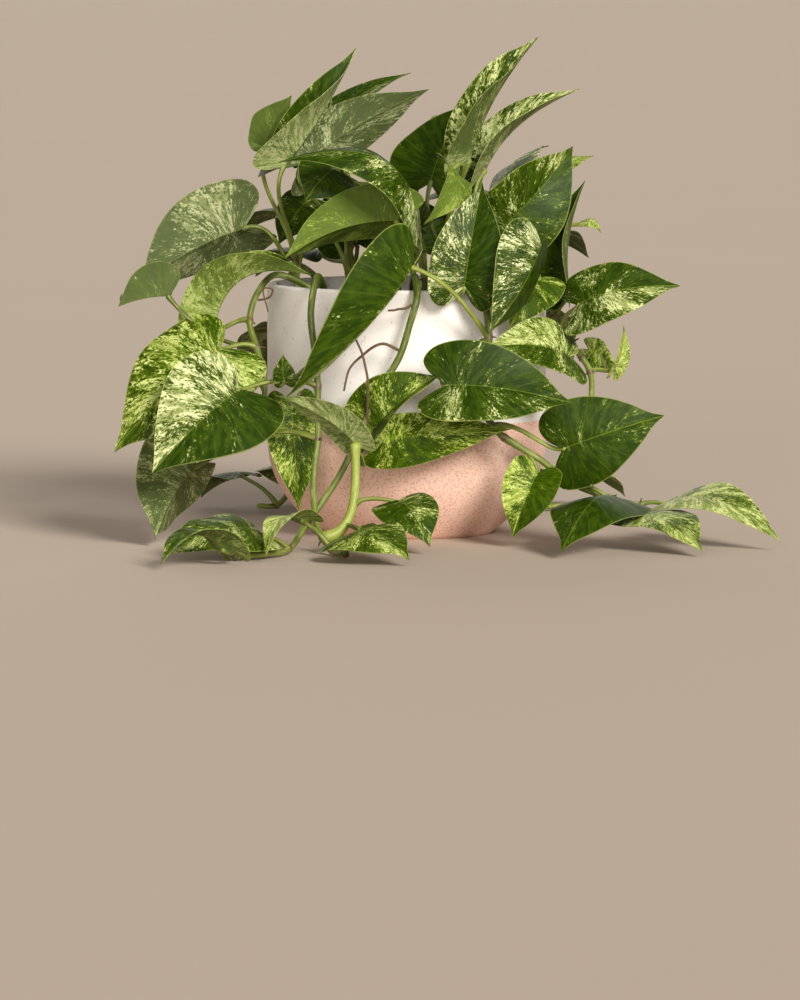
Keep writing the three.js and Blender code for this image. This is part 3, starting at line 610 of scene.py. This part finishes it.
def sweep(form, centres, radii, looks, sides, slot, groove=None):
    """A closed round tube along a line of points. groove is the direction of a furrow along it."""
    tangents = []
    for i in range(len(centres)):
        ahead = centres[min(i + 1, len(centres) - 1)]
        behind = centres[max(i - 1, 0)]
        tangents.append((ahead - behind).normalized())
    across = tangents[0].orthogonal() if groove is None else groove
    travelled = 0
    rings = []
    for i, (centre, radius, look, tangent) in enumerate(zip(centres, radii, looks, tangents)):
        across = (across - tangent * across.dot(tangent)).normalized()
        beside = tangent.cross(across)
        if i:
            travelled += (centre - centres[i - 1]).length
        ring = []
        for side in range(sides):
            angle = 2 * math.pi * side / sides
            reach = 1
            if groove is not None:
                off_groove = min(angle, 2 * math.pi - angle)
                reach -= STALK_GROOVE * math.exp(-(off_groove / STALK_GROOVE_WIDTH) ** 2)
            out = across * math.cos(angle) + beside * math.sin(angle)
            place = (travelled / MM, side / sides)
            ring.append(form.point(centre + out * (radius * reach), look, place))
        rings.append(ring)
    join_rings(form, rings, slot)
    for ring, outward, centre, radius, look in (
        (rings[0][::-1], -tangents[0], centres[0], radii[0], looks[0]),
        (rings[-1], tangents[-1], centres[-1], radii[-1], looks[-1]),
    ):
        tip = form.point(centre + outward * (radius * TUBE_END), look, (travelled / MM, 0))
        for side in range(sides):
            form.face([ring[side], ring[(side + 1) % sides], tip], slot)


# ---- Blades, stalks and stems ----

BLADE, STEM, DRY = range(3)  # the material slots of a vine's mesh


def arch_height(along):
    """How high a blade with an arch of 1 stands off its chord, in lengths of the chord."""
    return 4 * along * (1 - along) * (1 + ARCH_LEAN * (0.5 - along))


def blade_surface(leaf):
    """The blade's middle surface: a point for a place along the midrib and across it (-1 to 1)."""
    base, length, forward, face, sideways = blade_axes(leaf)
    half_width = leaf["width"] * MM / 2
    arch = leaf.get("arch", DEFAULT_ARCH)
    fold = leaf.get("fold", 0)
    twist = leaf.get("twist", 0)

    def surface(along, across):
        climb = arch_height(along + SMALL_STEP) - arch_height(along - SMALL_STEP)
        turn = Quaternion(forward, twist * (along - 0.5))
        upward = (turn @ face - forward * (arch * climb / (2 * SMALL_STEP))).normalized()
        distance = across * half_width
        rise = abs(distance) * math.sin(fold) - CUP * half_width * across ** 2
        return (
            base
            + forward * (length * along)
            + face * (arch * length * arch_height(along))
            + turn @ sideways * (distance * math.cos(fold))
            + upward * rise
        )

    return surface


def surface_normal(surface, along, across):
    forward = surface(along + SMALL_STEP, across) - surface(along - SMALL_STEP, across)
    sideways = surface(along, across + SMALL_STEP) - surface(along, across - SMALL_STEP)
    return forward.cross(sideways).normalized()


def blade(form, leaf, draw):
    """A blade with two faces: waved, swollen between the side veins, with a ribbed underside."""
    surface = blade_surface(leaf)
    width = leaf["width"] * MM
    seed = draw.random()
    phases = (draw.uniform(0, 1), draw.uniform(0, 1))
    waves = draw.uniform(*MARGIN_WAVES)
    creams = leaf.get("cream", (draw.uniform(*USUAL_CREAM), draw.uniform(*USUAL_CREAM)))
    tone = leaf.get("tone", draw.uniform(*USUAL_TONE))
    fade = leaf.get("fade", 0)
    columns = [-c for c in reversed(BLADE_COLUMNS[1:])] + list(BLADE_COLUMNS)
    outline = [Vector(p) for p in BLADE_OUTLINE]

    def both_faces(t, column):
        """A point of each face, t of the way from the base to the tip along the margin."""
        out = abs(column)
        edge = through_points(outline, t)
        along = edge.z + (edge.x - edge.z) * out ** VEIN_CURVE
        across = edge.y * column
        normal = surface_normal(surface, along, across)
        wave = math.sin(2 * math.pi * (waves * t + phases[column > 0])) * out ** 2 * math.sin(math.pi * t)
        bumps = noise.noise(Vector((along * BUCKLES[0], across * BUCKLES[1], seed * BLADE_SEEDS)))
        swell = math.cos(2 * math.pi * SIDE_VEINS * t) * 4 * out * (1 - out)
        shift = width * (MARGIN_WAVE * wave + BUCKLE * bumps * out) - QUILTING * swell
        middle = surface(along, across) + normal * shift
        rib = math.exp(-(across * width / 2 / RIB_WIDTH) ** 2)
        half = (BLADE_THICKNESS + (MARGIN_THICKNESS - BLADE_THICKNESS) * out) / 2
        top = middle + normal * (half - RIB_GROOVE * rib * (1 - t))
        bottom = middle - normal * (half + RIB_KEEL * rib * (1 - t))
        share = 0.5 + 0.5 * max(-1, min(1, column / HALVES_MIX))
        cream = creams[0] * (1 - share) + creams[1] * share + fade * (along - 0.5)
        place = (t, column)
        return (
            form.point(top, (cream, tone, seed, 0), place, rib),
            form.point(bottom, (cream, tone, seed, 1), place, rib),
        )

    base = both_faces(0, 0)
    tip = both_faces(1, 0)
    rows = [[both_faces(row / BLADE_ROWS, column) for column in columns] for row in range(1, BLADE_ROWS)]
    faces = []
    for c in range(len(columns) - 1):
        faces.append((base, rows[0][c], rows[0][c + 1]))
        faces.append((tip, rows[-1][c + 1], rows[-1][c]))
        for near, far in zip(rows, rows[1:]):
            faces.append((near[c], far[c], far[c + 1], near[c + 1]))
    for corners in faces:
        form.face([corner[0] for corner in corners], BLADE)
        form.face([corner[1] for corner in reversed(corners)], BLADE)
    rim = [base] + [row[0] for row in rows] + [tip] + [row[-1] for row in reversed(rows)]
    for here, there in zip(rim, rim[1:] + rim[:1]):
        form.face([there[0], here[0], here[1], there[1]], BLADE)
        for side in (0, 1):
            form.sharp.append(tuple(sorted((here[side], there[side]))))


def shares(steps):
    """Even steps from 0 to 1."""
    return [i / steps for i in range(steps + 1)]


def stalk(form, leaf, stem_line, draw):
    """A grooved leaf stalk, thicker in the sheath at the stem and in the knee at the blade."""
    points = stalk_points(leaf, stem_line)
    _, _, forward, face, _ = blade_axes(leaf)
    radius = leaf["stalk_radius"] * MM if "stalk_radius" in leaf else STALK_RADIUS
    centres = [bezier(points, t) for t in shares(STALK_STEPS)]
    radii = []
    looks = []
    seed = draw.random()
    pale = leaf.get("pale_stalk", draw.uniform(*USUAL_PALE_STALK))
    for t in shares(STALK_STEPS):
        sheath = math.exp(-(t / SHEATH_LENGTH) ** 2)
        knee = math.exp(-((1 - t) / KNEE_LENGTH) ** 2)
        radii.append(radius * (1 + SHEATH_SWELL * sheath + KNEE_SWELL * knee - STALK_TAPER * t))
        looks.append((SHEATH_CORK * sheath, pale, seed, 0))
    sweep(form, centres, radii, looks, STALK_SIDES, STEM, groove=face - forward)


def stem(form, vine, stem_line, draw):
    """A stem with a swollen joint and a dry root stub at each leaf."""
    radius = vine["radius"] * MM
    joints = [joint_share(leaf, stem_line) for leaf in vine["leaves"]]
    places = [through_points(stem_line, joint) for joint in joints]
    steps = (len(stem_line) - 1) * STEM_STEPS_PER_SPAN
    seed = draw.random()
    centres = [through_points(stem_line, t) for t in shares(steps)]
    radii = []
    looks = []
    for centre, t in zip(centres, shares(steps)):
        near = max(math.exp(-((centre - place).length / JOINT_WIDTH) ** 2) for place in places)
        knobble = noise.noise(Vector((t * KNOBBLES_PER_STEM, seed * STEM_SEEDS, 0)))
        swell = STEM_SWELL - STEM_TAPER * t + JOINT_SWELL * near + STEM_KNOBBLE * knobble
        radii.append(radius * (1 + swell))
        cork = OLD_CORK * max(0, 1 - CORK_FADE * t) + JOINT_CORK * near ** 2
        looks.append((min(1, cork), STEM_PALE_AT_ROOT + STEM_PALER_AT_END * t ** 2, seed, 0))
    sweep(form, centres, radii, looks, STEM_SIDES, STEM)
    for joint, place in zip(joints, places):
        ahead = through_points(stem_line, min(1, joint + SMALL_STEP))
        behind = through_points(stem_line, joint - SMALL_STEP)
        side = (ahead - behind).orthogonal().normalized()
        side.rotate(Quaternion((ahead - behind).normalized(), draw.uniform(0, 2 * math.pi)))
        if place.z < NUB_LENGTH:  # the stem lies down, so its stub points up
            side.z = abs(side.z)
        nub(form, place + side * radius * NUB_START, side, draw)


def nub(form, start, direction, draw):
    """The dry stub of a root, drooping a little."""
    length = NUB_LENGTH * draw.uniform(NUB_SHORTEST, 1)
    droop = Vector((0, 0, -NUB_DROOP * length))
    centres = [start + direction * (length * t) + droop * t ** 2 for t in shares(NUB_STEPS)]
    radii = [NUB_RADIUS * (1 - NUB_TAPER * t) for t in shares(NUB_STEPS)]
    looks = [(1, 0, draw.random(), 0)] * len(centres)
    sweep(form, centres, radii, looks, NUB_SIDES, DRY)


def aerial_root(form, root):
    """A dry root that wanders along its path and thins to its end."""
    points = [metres(p) for p in root["path"]]
    centres = []
    radii = []
    for t in shares(AERIAL_ROOT_STEPS_PER_SPAN * (len(points) - 1)):
        wobble = noise.noise_vector(Vector((t * AERIAL_ROOT_WOBBLES, 0, root["radius"])))
        centres.append(through_points(points, t) + wobble * AERIAL_ROOT_WOBBLE)
        radii.append(root["radius"] * MM * (1 - AERIAL_ROOT_TAPER * t))
    looks = [(1, 0, 0.5, 0)] * len(centres)
    sweep(form, centres, radii, looks, AERIAL_ROOT_SIDES, DRY)


def vine_piece(name, vine, index, materials):
    """One vine: its stem, blades, stalks and aerial roots."""
    draw = random.Random(SEED + index)
    form = Form()
    stem_line = stem_points(vine)
    stem(form, vine, stem_line, draw)
    for leaf in vine["leaves"]:
        blade(form, leaf, draw)
        stalk(form, leaf, stem_line, draw)
    for root in vine.get("roots", []):
        aerial_root(form, root)
    piece = form.piece(name.replace("vine_", "leafy_"), materials)
    settle(piece, name)


# ---- Pot and soil ----


def pot_radius(height):
    """The outside of the pot: straight above the belly, rounded in to the foot below it."""
    below = max(0, 1 - height / POT_BELLY_HEIGHT)
    return POT_RADIUS - (POT_RADIUS - POT_FOOT_RADIUS) * below ** POT_BELLY_POWER


def wall_heights(low, high):
    """Heights up the wall, in even steps below the belly and above it."""
    curved = [low + (POT_BELLY_HEIGHT - low) * t for t in shares(WALL_STEPS)]
    straight = [POT_BELLY_HEIGHT + (high - POT_BELLY_HEIGHT) * t for t in shares(WALL_STEPS)]
    return curved + straight[1:]


def rim_arc(radius, start):
    """A quarter of the rim's rounding, as (radius, height) pairs."""
    turn = [start + math.pi / 2 * t for t in shares(RIM_STEPS)]
    centre = POT_HEIGHT - RIM_ROUNDING
    return [(radius + RIM_ROUNDING * math.cos(a), centre + RIM_ROUNDING * math.sin(a)) for a in turn]


def pot_piece(material):
    """The pot, from its foot up the outside, over the rim and down the inside."""
    form = Form()
    top = POT_HEIGHT - 2 * RIM_ROUNDING
    outside = [(pot_radius(h), h) for h in wall_heights(0, top)]
    inside = [(pot_radius(h) - POT_WALL, h) for h in reversed(wall_heights(POT_FLOOR, top))]
    outer_arc = rim_arc(POT_RADIUS - RIM_ROUNDING, 0)
    inner_arc = rim_arc(POT_RADIUS - POT_WALL + RIM_ROUNDING, math.pi / 2)
    lathe(form, [(0, 0)] + outside + outer_arc + inner_arc + inside + [(0, POT_FLOOR)], POT_SIDES)
    piece = form.piece("pot_finished", [material])
    settle(piece, "pot")


def soil_height(x, y):
    """The lumpy top of the soil, a low dome."""
    reach = POT_RADIUS - POT_WALL
    height = SOIL_TOP + SOIL_DOME * (1 - min(1, math.hypot(x, y) / reach) ** 2)
    for layer, (size, rise) in zip(SOIL_LAYERS, SOIL_LUMPS):
        height += noise.noise(Vector((x, y, layer)) / size) * rise
    return height


def soil_piece(material):
    """The soil, from the middle of its top outwards and down along the pot."""
    form = Form()
    reach = POT_WALL + CLEARANCE
    bottom = POT_FLOOR + CLEARANCE
    rings = [[form.point(Vector((0, 0, soil_height(0, 0))))] * SOIL_SIDES]
    for ring in range(1, SOIL_RINGS + 1):
        circle = level_circle((POT_RADIUS - reach) * ring / SOIL_RINGS, 0, SOIL_SIDES)
        rings.append([form.point(Vector((p.x, p.y, soil_height(p.x, p.y)))) for p in circle])
    for height in reversed(wall_heights(bottom, SOIL_TOP - SOIL_SHOULDER)):
        circle = level_circle(pot_radius(height) - reach, height, SOIL_SIDES)
        rings.append([form.point(p) for p in circle])
    rings.append([form.point(Vector((0, 0, bottom)))] * SOIL_SIDES)
    for inner, outer in zip(rings, rings[1:]):
        for i in range(SOIL_SIDES):
            j = (i + 1) % SOIL_SIDES
            form.face(list(dict.fromkeys([inner[i], outer[i], outer[j], inner[j]])))
    piece = form.piece("soil_loose", [material])
    settle(piece, "soil")


# ---- Materials ----
#
# A colour is red, green and blue, and a pair of colours holds the two ends that a noise or a
# leaf's tone goes between. A noise has its scale: along the margin, across the blade and from
# blade to blade, or along a stem, round it and from stem to stem. A marking has the value it
# starts at, the softness of its edge and how much it hides of what is under it.

DEEP = ((0.012, 0.029, 0.001), (0.022, 0.048, 0.0005))
MID = ((0.028, 0.056, 0.0015), (0.052, 0.095, 0.001))
WASH = ((0.155, 0.195, 0.042), (0.19, 0.27, 0.016))
CREAM = ((0.68, 0.7, 0.4), (0.52, 0.6, 0.14))
UNDERSIDE = ((0.125, 0.145, 0.068), (0.17, 0.24, 0.04))
UNDERSIDE_HIDES = 0.5

PATCHES = (8.0, 0.9, 61.0)
STREAKS = (62.0, 5.5, 37.0)
SPECKS = (120.0, 19.0, 23.0)
PATCH_WEIGHT = 0.36
STREAK_WEIGHT = 0.42
SPECK_WEIGHT = 0.22
CREAM_START = 0.68  # for no cream
CREAM_LOWERS = 0.32  # the start, for all cream
CREAM_SOFTNESS = 0.012
WASH_BEFORE_CREAM = 0.045
WASH_SOFTNESS = 0.03
WASH_HIDES = 0.42
CLOUDS = (30.0, 3.4, 19.0)
CLOUD_START = 0.52
CLOUD_SOFTNESS = 0.16
VEILS = (34.0, 2.4, 77.0)
VEIL_MARK = (0.5, 0.08, 0.8)
DOTS = (120.0, 17.0, 91.0)
DOT_MARK = (0.6, 0.02, 0.85)
VEIN_MARK = (0.96, 0.04, 0.1)
MIDRIB_MARK = (0.82, 0.12, 0.35)
MARGIN_MARK = (0.985, 0.012, 0.35)
BLADE_ROUGHNESS = 0.42
UNDERSIDE_ROUGHNESS = 0.65
BLADE_SPECULAR = 0.1

STEM_SKIN = ((0.045, 0.07, 0.003), (0.29, 0.34, 0.05))
STEM_STREAK = (0.44, 0.5, 0.14)
STEM_STREAKS = (0.07, 6.0, 53.0)
STEM_STREAK_MARK = (0.58, 0.05, 0.4)
STEM_GRAIN = (0.9, 9.0, 17.0)
CORK = (0.13, 0.085, 0.035)
CORK_EVEN = 0.4  # what cork shows without the grain
CORK_START = 0.36
CORK_SOFTNESS = 0.14
DRY_SKIN = ((0.035, 0.018, 0.008), (0.2, 0.12, 0.06))

WHITE = ((0.86, 0.81, 0.76), (0.91, 0.87, 0.82))
WHITE_SPECK = (0.55, 0.42, 0.3)
WHITE_SPECK_MARK = (0.7, 0.03, 0.4)
PINK = ((0.93, 0.6, 0.47), (0.96, 0.66, 0.53))
PINK_SPECK = (0.62, 0.3, 0.2)
PINK_SPECK_MARK = (0.55, 0.04, 0.6)
PINK_SAND = (0.92, 0.7, 0.6)
PINK_SAND_MARK = (0.62, 0.05, 0.4)
CRUMBS = ((0.012, 0.008, 0.005), (0.09, 0.055, 0.032))
FIBRE = (0.2, 0.13, 0.07)
FIBRE_MARK = (0.68, 0.03, 0.6)


class Paint:
    """A material being put together from shader nodes."""

    def __init__(self, name):
        self.material = bpy.data.materials.new(name)
        self.material.use_nodes = True
        self.tree = self.material.node_tree
        self.tree.nodes.clear()
        self.shader = self.node("BsdfPrincipled")
        self.node("OutputMaterial", {"Surface": self.shader.outputs["BSDF"]})

    def node(self, kind, inputs=None, **settings):
        made = self.tree.nodes.new("ShaderNode" + kind)
        for name, value in settings.items():
            setattr(made, name, value)
        self.feed(made, inputs or {})
        return made

    def feed(self, made, inputs):
        """Gives a node its inputs: a socket is linked, and a value is set."""
        for key, value in inputs.items():
            if isinstance(value, bpy.types.NodeSocket):
                self.tree.links.new(value, made.inputs[key])
            else:
                made.inputs[key].default_value = value

    def maths(self, operation, *values):
        return self.node("Math", dict(enumerate(values)), operation=operation).outputs[0]

    def blend(self, share, below, above):
        """One colour over another by a share. A colour is a socket or red, green and blue."""
        below, above = (c if isinstance(c, bpy.types.NodeSocket) else (*c, 1) for c in (below, above))
        return self.node("Mix", {0: share, 6: below, 7: above}, data_type="RGBA").outputs[2]

    def step(self, value, start, softness):
        """0 below the start and 1 above it, soft to each side."""
        past = self.maths("SUBTRACT", value, start)
        limits = {"Value": past, "From Min": -softness, "From Max": softness}
        return self.node("MapRange", limits, interpolation_type="SMOOTHSTEP").outputs["Result"]

    def mark(self, below, above, value, start, softness, hides):
        """A marking over a colour, where a value is past a start."""
        share = self.maths("MULTIPLY", self.step(value, start, softness), hides)
        return self.blend(share, below, above)

    def fleck(self, place, scale, detail=3.0, roughness=0.55):
        """Noise, with one scale or one for each direction."""
        scale = scale if isinstance(scale, tuple) else (scale, scale, scale)
        scaled = self.node("VectorMath", {0: place, 1: scale}, operation="MULTIPLY").outputs["Vector"]
        looks = {"Vector": scaled, "Scale": 1.0, "Detail": detail, "Roughness": roughness}
        return self.node("TexNoise", looks).outputs["Fac"]

    def vine_looks(self):
        """What a vine's points hold: looks 1, 2 and 4, the place, and with look 3 the noise's place."""
        look = self.node("Attribute", attribute_name="look").outputs
        parts = self.node("SeparateColor", {"Color": look["Color"]}).outputs
        uv = self.node("UVMap", uv_map="place").outputs["UV"]
        flat = self.node("SeparateXYZ", {"Vector": uv}).outputs
        x, y = flat["X"], flat["Y"]
        place = self.node("CombineXYZ", {"X": x, "Y": y, "Z": parts["Blue"]}).outputs["Vector"]
        return parts["Red"], parts["Green"], look["Alpha"], x, y, place

    def own_place(self):
        return self.node("TexCoord").outputs["Object"]

    def finish(self, colour, roughness, height, distance):
        """The material, with a bump from a height."""
        bump = self.node("Bump", {"Height": height, "Distance": distance}).outputs["Normal"]
        self.feed(self.shader, {"Base Color": colour, "Roughness": roughness, "Normal": bump})
        return self.material


def blade_material():
    """Green tissue with silvery and cream marbling that runs along the side veins."""
    paint = Paint("marbled_blade")
    cream, tone, under, vein, out, place = paint.vine_looks()
    rib = paint.node("Attribute", attribute_name="rib").outputs["Fac"]

    streaks = paint.fleck(place, STREAKS, roughness=0.65)
    mottle = paint.maths("MULTIPLY", paint.fleck(place, PATCHES, detail=1.0), PATCH_WEIGHT)
    mottle = paint.maths("MULTIPLY_ADD", streaks, STREAK_WEIGHT, mottle)
    mottle = paint.maths("MULTIPLY_ADD", paint.fleck(place, SPECKS, detail=1.0), SPECK_WEIGHT, mottle)
    start = paint.maths("MULTIPLY_ADD", cream, -CREAM_LOWERS, CREAM_START)
    creamy = paint.step(mottle, start, CREAM_SOFTNESS)

    wash = paint.blend(tone, *WASH)
    clouds = paint.step(paint.fleck(place, CLOUDS), CLOUD_START, CLOUD_SOFTNESS)
    green = paint.blend(clouds, paint.blend(tone, *DEEP), paint.blend(tone, *MID))
    wash_start = paint.maths("SUBTRACT", start, WASH_BEFORE_CREAM)
    green = paint.mark(green, wash, mottle, wash_start, WASH_SOFTNESS, WASH_HIDES)
    white = paint.blend(tone, *CREAM)
    white = paint.mark(white, wash, paint.fleck(place, VEILS), *VEIL_MARK)
    white = paint.mark(white, green, paint.fleck(place, DOTS, detail=1.0), *DOT_MARK)
    marbled = paint.blend(creamy, green, white)

    wave = paint.maths("SINE", paint.maths("MULTIPLY", vein, 2 * math.pi * SIDE_VEINS))
    marbled = paint.mark(marbled, wash, wave, *VEIN_MARK)
    marbled = paint.mark(marbled, WASH[1], rib, *MIDRIB_MARK)
    marbled = paint.mark(marbled, CREAM[1], paint.maths("ABSOLUTE", out), *MARGIN_MARK)
    share = paint.maths("MULTIPLY", under, UNDERSIDE_HIDES)
    marbled = paint.blend(share, marbled, paint.blend(tone, *UNDERSIDE))

    sides = {"Value": under, "To Min": BLADE_ROUGHNESS, "To Max": UNDERSIDE_ROUGHNESS}
    roughness = paint.node("MapRange", sides).outputs["Result"]
    paint.shader.inputs["Specular IOR Level"].default_value = BLADE_SPECULAR
    return paint.finish(marbled, roughness, streaks, 0.25 * MM)


def stem_material():
    """Green stem and stalk with pale streaks along it and corky joints."""
    paint = Paint("stem_skin")
    cork, pale, _, _, _, place = paint.vine_looks()
    grain = paint.fleck(place, STEM_GRAIN)
    skin = paint.blend(pale, *STEM_SKIN)
    skin = paint.mark(skin, STEM_STREAK, paint.fleck(place, STEM_STREAKS), *STEM_STREAK_MARK)
    corky = paint.maths("MULTIPLY", paint.maths("ADD", grain, CORK_EVEN), cork)
    skin = paint.blend(paint.step(corky, CORK_START, CORK_SOFTNESS), skin, CORK)
    return paint.finish(skin, 0.45, grain, 0.3 * MM)


def dry_material():
    """Dry brown skin of aerial roots and root stubs."""
    paint = Paint("dry_root")
    grain = paint.fleck(paint.own_place(), 420.0, detail=4.0)
    return paint.finish(paint.blend(grain, *DRY_SKIN), 0.8, grain, 0.4 * MM)


def pot_material():
    """Matte off-white ceramic, dipped in a pink glaze with dark specks up to DIP_HEIGHT."""
    paint = Paint("two_tone_ceramic")
    place = paint.own_place()
    height = paint.node("SeparateXYZ", {"Vector": place}).outputs["Z"]
    ragged = paint.fleck(place, 160.0, detail=2.0)
    line = paint.maths("MULTIPLY_ADD", ragged, DIP_RAGGEDNESS, height)
    above_dip = paint.step(line, DIP_HEIGHT + DIP_RAGGEDNESS / 2, DIP_SOFTNESS)

    clouds = paint.fleck(place, 18.0)
    sand = paint.fleck(place, 900.0, detail=2.0, roughness=0.7)
    sparse = paint.fleck(place, 330.0, detail=1.0)
    dense = paint.fleck(place, 620.0, roughness=0.65)
    white = paint.mark(paint.blend(clouds, *WHITE), WHITE_SPECK, sparse, *WHITE_SPECK_MARK)
    pink = paint.mark(paint.blend(clouds, *PINK), PINK_SPECK, dense, *PINK_SPECK_MARK)
    pink = paint.mark(pink, PINK_SAND, sand, *PINK_SAND_MARK)
    return paint.finish(paint.blend(above_dip, pink, white), 0.6, sand, 0.12 * MM)


def soil_material():
    """Dark crumbs with a few pale fibres."""
    paint = Paint("moist_soil")
    place = paint.own_place()
    crumbs = paint.fleck(place, 260.0, detail=6.0, roughness=0.7)
    fibres = paint.fleck(place, (90.0, 700.0, 300.0), detail=2.0)
    colour = paint.mark(paint.blend(crumbs, *CRUMBS), FIBRE, fibres, *FIBRE_MARK)
    return paint.finish(colour, 0.95, crumbs, 2.5 * MM)


# ---- Camera, light and floor ----

CAMERA_PLACE = (-0.0047, -4.229, 0.417)
CAMERA_PITCH = math.radians(5.33)
CAMERA_LENS = 212.4
CAMERA_SIGHT = 500.0
FLOOR_RADIUS = 80.0
FLOOR_SIDES = 64
BACKDROP = (0.51, 0.416, 0.334)
BACKDROP_CLOUDS = 1.04  # how much lighter the floor's clouds are
STUDIO = (1, 0.93, 0.85, 1)
STUDIO_STRENGTH = 0.22

# Each light's strength, its spread in degrees, its colour and its direction.
SUNS = {
    "key": (3.7, 20, (1, 0.97, 0.92), (-0.45, 0.85, -0.5)),
    "fill": (1.9, 40, (1, 0.96, 0.9), (0.2, 0.95, -0.06)),
    "back": (0.8, 60, (1, 0.96, 0.9), (0.25, -0.9, -0.3)),
}


def make_camera():
    data = bpy.data.cameras.new("camera")
    data.lens = CAMERA_LENS
    data.clip_end = CAMERA_SIGHT
    camera = bpy.data.objects.new("camera", data)
    camera.location = CAMERA_PLACE
    camera.rotation_euler = (math.pi / 2 - CAMERA_PITCH, 0, 0)
    bpy.context.scene.collection.objects.link(camera)
    bpy.context.scene.camera = camera


def make_sun(name, strength, spread, colour, direction):
    data = bpy.data.lights.new(name, "SUN")
    data.energy = strength
    data.angle = math.radians(spread)
    data.color = colour
    sun = bpy.data.objects.new(name, data)
    sun.rotation_euler = Vector(direction).to_track_quat("-Z", "Y").to_euler()
    bpy.context.scene.collection.objects.link(sun)


def make_world():
    world = bpy.data.worlds.new("studio")
    world.use_nodes = True
    background = world.node_tree.nodes["Background"]
    background.inputs["Color"].default_value = STUDIO
    background.inputs["Strength"].default_value = STUDIO_STRENGTH
    bpy.context.scene.world = world


def make_floor():
    """A pale floor so wide that it is the backdrop too."""
    form = Form()
    form.face([form.point(p) for p in level_circle(FLOOR_RADIUS, 0, FLOOR_SIDES)])
    paint = Paint("floor")
    clouds = paint.fleck(paint.own_place(), 1.5)
    colour = paint.blend(clouds, BACKDROP, [value * BACKDROP_CLOUDS for value in BACKDROP])
    form.piece("floor", [paint.finish(colour, 0.9, clouds, 1 * MM)])


# ---- The scene ----

noise.seed_set(SEED)  # without it noise_vector differs from run to run
plant_materials = [blade_material(), stem_material(), dry_material()]
for number, (vine_name, vine) in enumerate(VINES.items()):
    vine_piece(vine_name, vine, number, plant_materials)
pot_piece(pot_material())
soil_piece(soil_material())

make_floor()
make_world()
for sun_name, sun in SUNS.items():
    make_sun(sun_name, *sun)
make_camera()
bpy.context.scene.view_settings.view_transform = "Standard"
